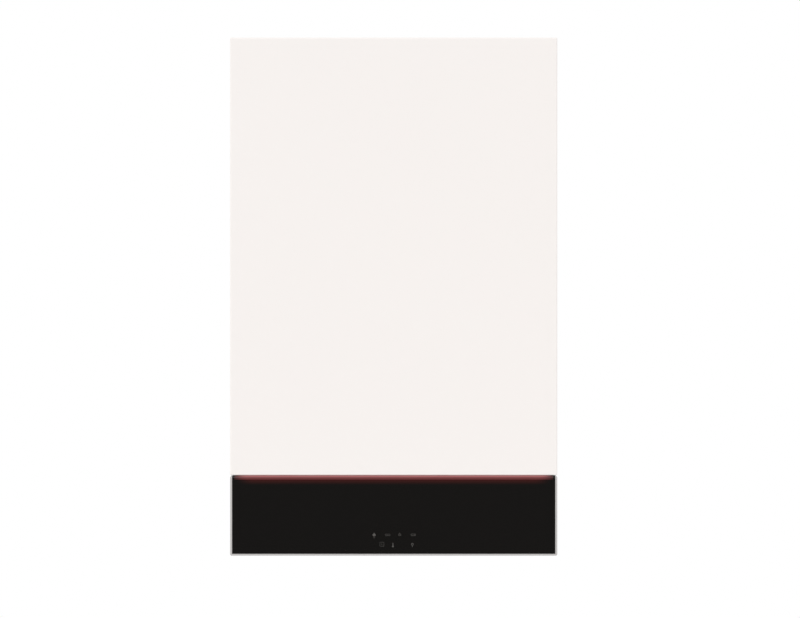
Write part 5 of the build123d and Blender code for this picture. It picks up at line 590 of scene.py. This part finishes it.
def edit(piece):
    """Starts edit mode on one piece alone, with nothing selected."""
    bpy.ops.object.select_all(action="DESELECT")
    piece.select_set(True)
    bpy.context.view_layer.objects.active = piece
    bpy.ops.object.mode_set(mode="EDIT")
    bpy.ops.mesh.select_all(action="DESELECT")


def block(centre, size):
    """A box of that size in metres, in edit mode, to be shaped into a piece."""
    bpy.ops.object.select_all(action="DESELECT")
    bpy.ops.mesh.primitive_cube_add(size=1.0, location=centre)
    piece = bpy.context.object
    piece.scale = size
    bpy.ops.object.transform_apply(location=True, rotation=True, scale=True)
    edit(piece)
    return piece


def post(sides, radius, height):
    """An upright bar with that many sides that stands on the origin, in edit mode, to be shaped."""
    bpy.ops.object.select_all(action="DESELECT")
    bpy.ops.mesh.primitive_cylinder_add(vertices=sides, radius=radius, depth=height,
                                        location=(0, 0, height / 2))
    piece = bpy.context.object
    bpy.ops.object.transform_apply(location=True)
    edit(piece)
    return piece


def pick(piece, kind, test):
    """Selects the faces or edges of the edited piece that pass the test, and nothing else."""
    bpy.ops.mesh.select_mode(type=kind)
    bpy.ops.mesh.select_all(action="DESELECT")
    mesh = bmesh.from_edit_mesh(piece.data)
    for item in (mesh.faces if kind == "FACE" else mesh.edges):
        if test(item):
            item.select_set(True)
    bmesh.update_edit_mesh(piece.data)


def level(item, place, axis=Z):
    """Whether all of an edge or face lies at that place on the axis."""
    return all(abs(v.co[axis] - place) < SAME for v in item.verts)


def span(edge, axis):
    """How far an edge reaches along an axis."""
    return abs(edge.verts[0].co[axis] - edge.verts[1].co[axis])


def hollow_out(piece, height, wall):
    """Cuts both end faces of a bar back to a rim of that width and joins the two openings."""
    for end in (0.0, height):
        pick(piece, "FACE", lambda f, end=end: level(f, end))
        bpy.ops.mesh.inset(thickness=wall)
        bpy.ops.mesh.delete(type="FACE")
    pick(piece, "EDGE", lambda e: e.is_boundary)
    bpy.ops.mesh.bridge_edge_loops()


def face_outwards():
    bpy.ops.mesh.select_all(action="SELECT")
    bpy.ops.mesh.normals_make_consistent(inside=False)


def done(piece, angle=35.0):
    """Leaves edit mode, puts the object at the origin and shades it."""
    bpy.ops.object.mode_set(mode="OBJECT")
    bpy.ops.object.transform_apply(location=True, rotation=True, scale=True)
    bpy.ops.object.shade_smooth_by_angle(angle=math.radians(angle))
    return piece


def dress(piece, name, material, body):
    """Names a finished piece, gives it its material and lets it ride on its body."""
    piece.name = name
    piece.data.materials.clear()
    piece.data.materials.append(material)
    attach(piece, body)


def copies(master, name, spots, facing, material=ZINC_STEEL, body="casing"):
    """Copies of a piece that stands on the origin, each put on its spot and turned to face outwards."""
    turn = Vector(UP).rotation_difference(Vector(facing)).to_matrix().to_4x4()
    for number, spot in enumerate(spots, 1):
        piece = master.copy()
        piece.data = master.data.copy()
        bpy.context.scene.collection.objects.link(piece)
        piece.data.transform(Matrix.Translation(spot) @ turn)
        dress(piece, f"{name}_{number}", material, body)
    bpy.data.objects.remove(master)


# ---------------------------------------------------------------- fasteners, sizes in millimetres

def cap_screw(radius, height):
    """Pan-head screw standing on the origin: domed rim and a sunk drive."""
    radius, height = radius * MM, height * MM
    piece = post(18, radius, height)
    pick(piece, "EDGE", lambda e: level(e, height))
    bpy.ops.mesh.bevel(offset=height * 0.55, segments=3, profile=0.6)
    pick(piece, "FACE", lambda f: level(f, height))
    bpy.ops.mesh.inset(thickness=radius * 0.18)
    bpy.ops.mesh.extrude_region_move(TRANSFORM_OT_translate={"value": (0, 0, -height * 0.5)})
    return done(piece)


def hex_nut(across, bore, height):
    """Hexagon union nut standing on the origin, chamfered at both ends and bored through."""
    across, bore, height = across * MM, bore * MM, height * MM
    piece = post(6, across / math.sqrt(3), height)
    for end in (0.0, height):
        pick(piece, "EDGE", lambda e, end=end: level(e, end))
        bpy.ops.mesh.bevel(offset=across * 0.06, segments=2)
    hollow_out(piece, height, across * 0.44 - bore)
    face_outwards()
    return done(piece)


def band_clip(bore, height):
    """Spring clip round a hose: a band with two ears."""
    bore, height = bore * MM, height * MM
    piece = post(32, bore + 1.2 * MM, height)
    hollow_out(piece, height, 1.1 * MM)

    def is_ear(face, angle):
        middle = face.calc_center_median()
        outer = abs(face.normal.z) < 0.1 and middle.length > bore
        return outer and abs(math.atan2(middle.x, -middle.y) - angle) < 0.1

    for angle in (0.25, -0.25):
        pick(piece, "FACE", lambda f, angle=angle: is_ear(f, angle))
        bpy.ops.mesh.extrude_region_move(TRANSFORM_OT_translate={"value": (0, -3.5 * MM, 0)})
    face_outwards()
    return done(piece)


def fasteners():
    """Screws, rivets, union nuts and clips, each made once and copied."""
    casing_flange, rear_sheet, housing_lid, fan_front, valve_front = 452, 14, 390, 398, 443  # depths
    tray_underside = 60
    copies(cap_screw(radius=3.6, height=1.9), "flange_screw",
           [at(x, casing_flange, h) for x in (-277, 277) for h in (215, 420, 640, 860)], FRONT)
    copies(cap_screw(radius=3.6, height=1.9), "tray_screw",
           [at(x, d, tray_underside) for x in (-285, 285) for d in (60, 200, 340)]
           + [at(x, 370, tray_underside) for x in (-110, 110)], DOWN)
    copies(cap_screw(radius=3.0, height=1.3), "frame_rivet",
           [at(x, rear_sheet, h) for x in (-258, 258) for h in (120, 290, 460, 630, 790)], BACK)
    copies(cap_screw(radius=3.2, height=1.7), "lid_screw",
           [at(x, housing_lid, h) for x in (-248, -83, 83, 248) for h in (24, 128)], BACK,
           body="control_panel")
    fan_x, fan_height, fan_reach = -110, 785, 46
    ring = [at(fan_x + fan_reach * math.cos(math.radians(a)), fan_front,
               fan_height + fan_reach * math.sin(math.radians(a))) for a in range(30, 390, 60)]
    copies(cap_screw(radius=3.4, height=2.4), "fan_screw", ring, FRONT)
    copies(cap_screw(radius=3.0, height=2.0), "gas_valve_screw",
           [at(x, valve_front, h) for x in (-248, -202) for h in (458, 552)], FRONT)
    copies(cap_screw(radius=9.0, height=3.0), "pump_vent_screw", [at(165, 268, 120)], FRONT,
           BRASS, "casing")
    copies(hex_nut(across=28, bore=9.1, height=14), "port_nut", [at(-215, 215, 552), at(-105, 150, 552)],
           UP, BRASS, "casing")
    copies(hex_nut(across=27, bore=9.1, height=14), "gas_inlet_nut", [at(-225, 418, 436)], UP,
           BRASS, "casing")
    copies(hex_nut(across=21, bore=6.1, height=11), "gas_outlet_nut", [at(-225, 418, 560)], UP,
           BRASS, "casing")
    copies(band_clip(bore=10.1, height=8), "hose_clip", [at(-160, 262, 556), at(-230, 270, 206)], UP)
    copies(band_clip(bore=6.1, height=6), "vessel_hose_clip", [at(-90, 57, 110)], UP)


# ---------------------------------------------------------------- soft pieces that replace plain solids

def sound_mat():
    """Felt mat inside the front cover: cut corners, soft rim, slightly uneven face, held by nine pins."""
    low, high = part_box("cover_insulation")
    slack = 0.6 * MM
    piece = block((low + high) / 2, [b - a - slack for a, b in zip(low, high)])
    pick(piece, "EDGE", lambda e: span(e, X) < SAME and span(e, Z) < SAME)
    bpy.ops.mesh.bevel(offset=20 * MM, segments=1)
    pick(piece, "FACE", lambda f: abs(f.normal.y) > 0.9)
    bpy.ops.mesh.inset(thickness=3 * MM)
    pick(piece, "FACE", lambda f: f.normal.y > 0.9 and f.calc_area() > 0.01)
    bpy.ops.transform.translate(value=(0, 0.25 * MM, 0))
    bpy.ops.mesh.select_all(action="SELECT")
    bpy.ops.mesh.quads_convert_to_tris()
    bpy.ops.mesh.subdivide(number_cuts=5)
    done(piece)
    waves = bpy.data.textures.new("mat waves", "CLOUDS")
    waves.noise_scale = 0.05
    uneven = piece.modifiers.new("uneven", "DISPLACE")
    uneven.texture, uneven.strength, uneven.mid_level = waves, 0.5 * MM, 0.5
    bpy.ops.object.modifier_apply(modifier="uneven")
    bpy.ops.object.shade_smooth_by_angle(angle=math.radians(50))
    dress(piece, "sound_mat", FELT, "cover")
    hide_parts("cover_insulation")
    pin_foot = 493.4  # depth, just under the mat's uneven face
    copies(cap_screw(radius=9, height=1.4), "mat_pin",
           [at(x, pin_foot, h) for x in (-200, 0, 200) for h in (250, 550, 850)], BACK,
           BLACK_PLASTIC, "cover")


def door_seal():
    """D-profile foam strip round the casing's open front."""
    low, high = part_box("casing_seal")
    bpy.ops.object.select_all(action="DESELECT")
    bpy.ops.mesh.primitive_plane_add(size=1.0, rotation=(math.radians(90), 0, 0),
                                     location=((low.x + high.x) / 2, high.y, (low.z + high.z) / 2))
    piece = bpy.context.object
    piece.scale = (high.x - low.x, high.z - low.z, 1.0)
    bpy.ops.object.transform_apply(location=True, rotation=True, scale=True)
    edit(piece)
    bpy.ops.mesh.select_all(action="SELECT")
    bpy.ops.mesh.inset(thickness=10 * MM)
    bpy.ops.mesh.delete(type="FACE")
    bpy.ops.mesh.select_all(action="SELECT")
    bpy.ops.mesh.extrude_region_move(TRANSFORM_OT_translate={"value": (0, low.y - high.y, 0)})
    pick(piece, "EDGE", lambda e: level(e, low.y, Y)
         and len({round(f.normal.y) for f in e.link_faces}) == 2)
    bpy.ops.mesh.bevel(offset=2.2 * MM, segments=5)
    face_outwards()
    done(piece, 60)
    dress(piece, "door_seal", SEAL_FOAM, "casing")
    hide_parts("casing_seal")


# ---------------------------------------------------------------- straps and fittings

def loose_copy(node):
    """A copy of a CAD node's shape that belongs to no body."""
    piece = frame["nodes"][node].copy()
    piece.data = frame["nodes"][node].data.copy()
    piece.parent = None
    piece.matrix_world = Matrix.Identity(4)
    for key in [k for k in piece.keys() if k.startswith("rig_")]:
        del piece[key]
    bpy.context.scene.collection.objects.link(piece)
    return piece


# The round tank's square foam, seen from above: its middle, and the four flat walls less 0.2 mm.
FOAM_MIDDLE = Vector((134 * MM, -182.5 * MM, 0.0))
FOAM_LEFT, FOAM_RIGHT = -26.8 * MM, 294.8 * MM
FOAM_REAR, FOAM_FRONT = -21.7 * MM, -343.3 * MM
FOAM_NEAREST = 148 * MM  # its outer faces lie at least this far from the middle


def off_foam_wall(face):
    """Whether a face isn't on the foam's outer walls or its cut corners."""
    centre = face.calc_center_median()
    outward = Vector((centre.x, centre.y, 0)) - FOAM_MIDDLE
    flat_wall = (centre.x < FOAM_LEFT or centre.x > FOAM_RIGHT
                 or centre.y > FOAM_REAR or centre.y < FOAM_FRONT)
    corner = abs(abs(face.normal.x) - abs(face.normal.y)) < 0.7
    return (face.normal.dot(outward) < 0.0 or abs(face.normal.z) > 0.5
            or not (flat_wall or corner) or outward.length < FOAM_NEAREST)


def tank_strap(name, height):
    """Flat strap round the two halves of the tank's foam, cut from their own outline, and its buckle."""
    bpy.ops.object.select_all(action="DESELECT")
    halves = [loose_copy("tank_insulation_front"), loose_copy("tank_insulation_rear")]
    for half in halves:
        half.select_set(True)
    bpy.context.view_layer.objects.active = halves[0]
    bpy.ops.object.join()
    piece = bpy.context.object
    half_width = 8 * MM
    edit(piece)
    bpy.ops.mesh.select_all(action="SELECT")
    bpy.ops.mesh.remove_doubles(threshold=0.01 * MM)
    bpy.ops.mesh.bisect(plane_co=(0, 0, z_at(height) + half_width), plane_no=UP, clear_outer=True)
    bpy.ops.mesh.select_all(action="SELECT")
    bpy.ops.mesh.bisect(plane_co=(0, 0, z_at(height) - half_width), plane_no=UP, clear_inner=True)
    pick(piece, "FACE", off_foam_wall)
    bpy.ops.mesh.delete(type="FACE")
    bpy.ops.mesh.select_all(action="SELECT")
    bpy.ops.mesh.remove_doubles(threshold=0.02 * MM)
    done(piece)
    wall = piece.modifiers.new("thickness", "SOLIDIFY")
    wall.thickness, wall.offset = 0.8 * MM, 1.0
    bpy.ops.object.modifier_apply(modifier="thickness")
    dress(piece, name, STRAP_PLASTIC, "casing")

    buckle = block(at(134, 345.2, height), (26 * MM, 3.2 * MM, 20 * MM))
    bpy.ops.mesh.select_all(action="SELECT")
    bpy.ops.mesh.bevel(offset=1.0 * MM, segments=2)
    pick(buckle, "FACE", lambda f: f.normal.y < -0.9 and f.calc_area() > 0.0001)
    bpy.ops.mesh.inset(thickness=3 * MM)
    bpy.ops.mesh.extrude_region_move(TRANSFORM_OT_translate={"value": (0, 1.4 * MM, 0)})
    done(buckle)
    dress(buckle, name + "_buckle", ZINC_STEEL, "casing")


def flue_lips():
    """Two rubber lip rings that seal the flue and air pipes in their socket."""
    middle = at(-160, 175, 936)
    for name, radius in (("air_lip", 50.0), ("flue_lip", 30.0)):
        bpy.ops.object.select_all(action="DESELECT")
        bpy.ops.mesh.primitive_torus_add(location=middle, major_radius=radius * MM, minor_radius=1.1 * MM,
                                         major_segments=72, minor_segments=10)
        piece = bpy.context.object
        bpy.ops.object.transform_apply(location=True)
        edit(piece)
        inner_edge = (radius - 0.9) * MM
        pick(piece, "EDGE", lambda e: span(e, Z) < SAME
             and all((v.co - middle).xy.length < inner_edge for v in e.verts))
        bpy.ops.transform.translate(value=(0, 0, -1.2 * MM))
        done(piece, 60)
        dress(piece, name, RUBBER, "casing")


def valve_cap():
    """Sealed cover plate on the gas valve's front."""
    piece = block(at(-225, 444.4, 505), (34 * MM, 2.8 * MM, 52 * MM))
    pick(piece, "EDGE", lambda e: span(e, Y) > 1 * MM)
    bpy.ops.mesh.bevel(offset=5 * MM, segments=4)
    pick(piece, "FACE", lambda f: f.normal.y < -0.9)
    bpy.ops.mesh.inset(thickness=2.5 * MM)
    bpy.ops.transform.translate(value=(0, -0.8 * MM, 0))
    bpy.ops.mesh.inset(thickness=1.5 * MM)
    bpy.ops.mesh.extrude_region_move(TRANSFORM_OT_translate={"value": (0, 0.9 * MM, 0)})
    done(piece)
    dress(piece, "gas_valve_cap", BLACK_PLASTIC, "casing")


def light_guide_edge():
    """Rounded upper edge of the strip's light guide, in the joint under the front cover."""
    middle = at(0, 497.6, 146.5)
    piece = block(middle, (580 * MM, 3.6 * MM, 1.1 * MM))
    pick(piece, "EDGE", lambda e: span(e, X) > 0.5 and e.verts[0].co.z > middle.z)
    bpy.ops.mesh.bevel(offset=0.45 * MM, segments=3)
    pick(piece, "FACE", lambda f: abs(f.normal.x) > 0.9)
    bpy.ops.mesh.inset(thickness=0.2 * MM)
    done(piece)
    dress(piece, "light_guide_edge", STRIP, "control_panel")


sound_mat()
door_seal()
tank_strap("lower_tank_strap", 350)
tank_strap("upper_tank_strap", 760)
fasteners()
flue_lips()
valve_cap()
light_guide_edge()


# ---------------------------------------------------------------- studio

def surroundings(scene):
    """Plain white all round, a little dimmer as light, with a dark patch behind the camera for gloss."""
    world = bpy.data.worlds.new("studio")
    scene.world = world
    world.use_nodes = True
    tree = world.node_tree
    tree.nodes.clear()
    rays = add(tree, "LightPath")
    mirrored = math_node(tree, "MAXIMUM", rays["Is Glossy Ray"], rays["Is Transmission Ray"])
    seen = math_node(tree, "MAXIMUM", rays["Is Camera Ray"], mirrored)
    _, y, _ = axes(tree, add(tree, "TexCoord")["Generated"])
    patch = fade(tree, y, -0.96, -0.86, 1.0, 0.0)
    dark = math_node(tree, "MULTIPLY", patch, rays["Is Glossy Ray"])
    shown_colour = blend_colour(tree, dark, rgb(1, 1, 1), rgb(0.14, 0.14, 0.14))
    shown = add(tree, "Background", {"Color": shown_colour})[0]
    light = add(tree, "Background", {"Color": rgb(1.0, 1.0, 1.0), "Strength": 0.83})[0]
    both = add(tree, "MixShader", {0: seen, 1: light, 2: shown})[0]
    output = tree.nodes.new("ShaderNodeOutputWorld")
    tree.links.new(both, output.inputs["Surface"])


def key_light(scene):
    """Soft light from above, in front and a little to the left."""
    key = bpy.data.lights.new("key", "SUN")
    key.energy, key.angle = 0.76, math.radians(50)
    lamp = bpy.data.objects.new("key", key)
    lamp.rotation_euler = Vector((0.4, 0.75, -0.62)).to_track_quat("-Z", "Y").to_euler()
    scene.collection.objects.link(lamp)


def pale_floor():
    """Round floor under the boiler that fades out into the white and can't be seen from beneath."""
    radius, floor_level = 3.2, -1.75
    bpy.ops.object.select_all(action="DESELECT")
    bpy.ops.mesh.primitive_circle_add(vertices=96, radius=radius, fill_type="NGON",
                                      location=(0, 0, floor_level))
    floor = bpy.context.object
    floor.name = "floor"
    material = bpy.data.materials.new("pale floor")
    material.use_nodes = True
    tree = material.node_tree
    tree.nodes.clear()
    place = add(tree, "TexCoord")["Object"]
    away = length(tree, vector_node(tree, "MULTIPLY", place, (1, 1, 0)))
    tone = drifting(tree, place, (0.97, 0.97, 0.97), (0.94, 0.94, 0.94), 1.5, 0.4)["Colour"]
    matt = add(tree, "BsdfDiffuse", {"Color": tone})[0]
    clear = add(tree, "BsdfTransparent")[0]
    behind = add(tree, "NewGeometry")["Backfacing"]
    rim = fade(tree, away, 1.2, radius - 0.1)
    open_part = math_node(tree, "MAXIMUM", behind, rim)
    surface = add(tree, "MixShader", {0: open_part, 1: matt, 2: clear})[0]
    output = tree.nodes.new("ShaderNodeOutputMaterial")
    tree.links.new(surface, output.inputs["Surface"])
    floor.data.materials.append(material)


def front_view(scene):
    """Camera straight in front of the boiler, at the middle of its height."""
    distance, middle_height = 3.460, -0.385
    camera = bpy.data.cameras.new("front view")
    camera.lens, camera.sensor_width = 85.0, 36.0
    camera.shift_x, camera.shift_y = 0.0079, -0.0155
    view = bpy.data.objects.new("front view", camera)
    view.location = (0.0, FACE - distance, middle_height)
    view.rotation_euler = (math.radians(90), 0, 0)
    scene.collection.objects.link(view)
    scene.camera = view


studio = bpy.context.scene
studio.view_settings.view_transform = "Standard"
surroundings(studio)
key_light(studio)
pale_floor()
front_view(studio)
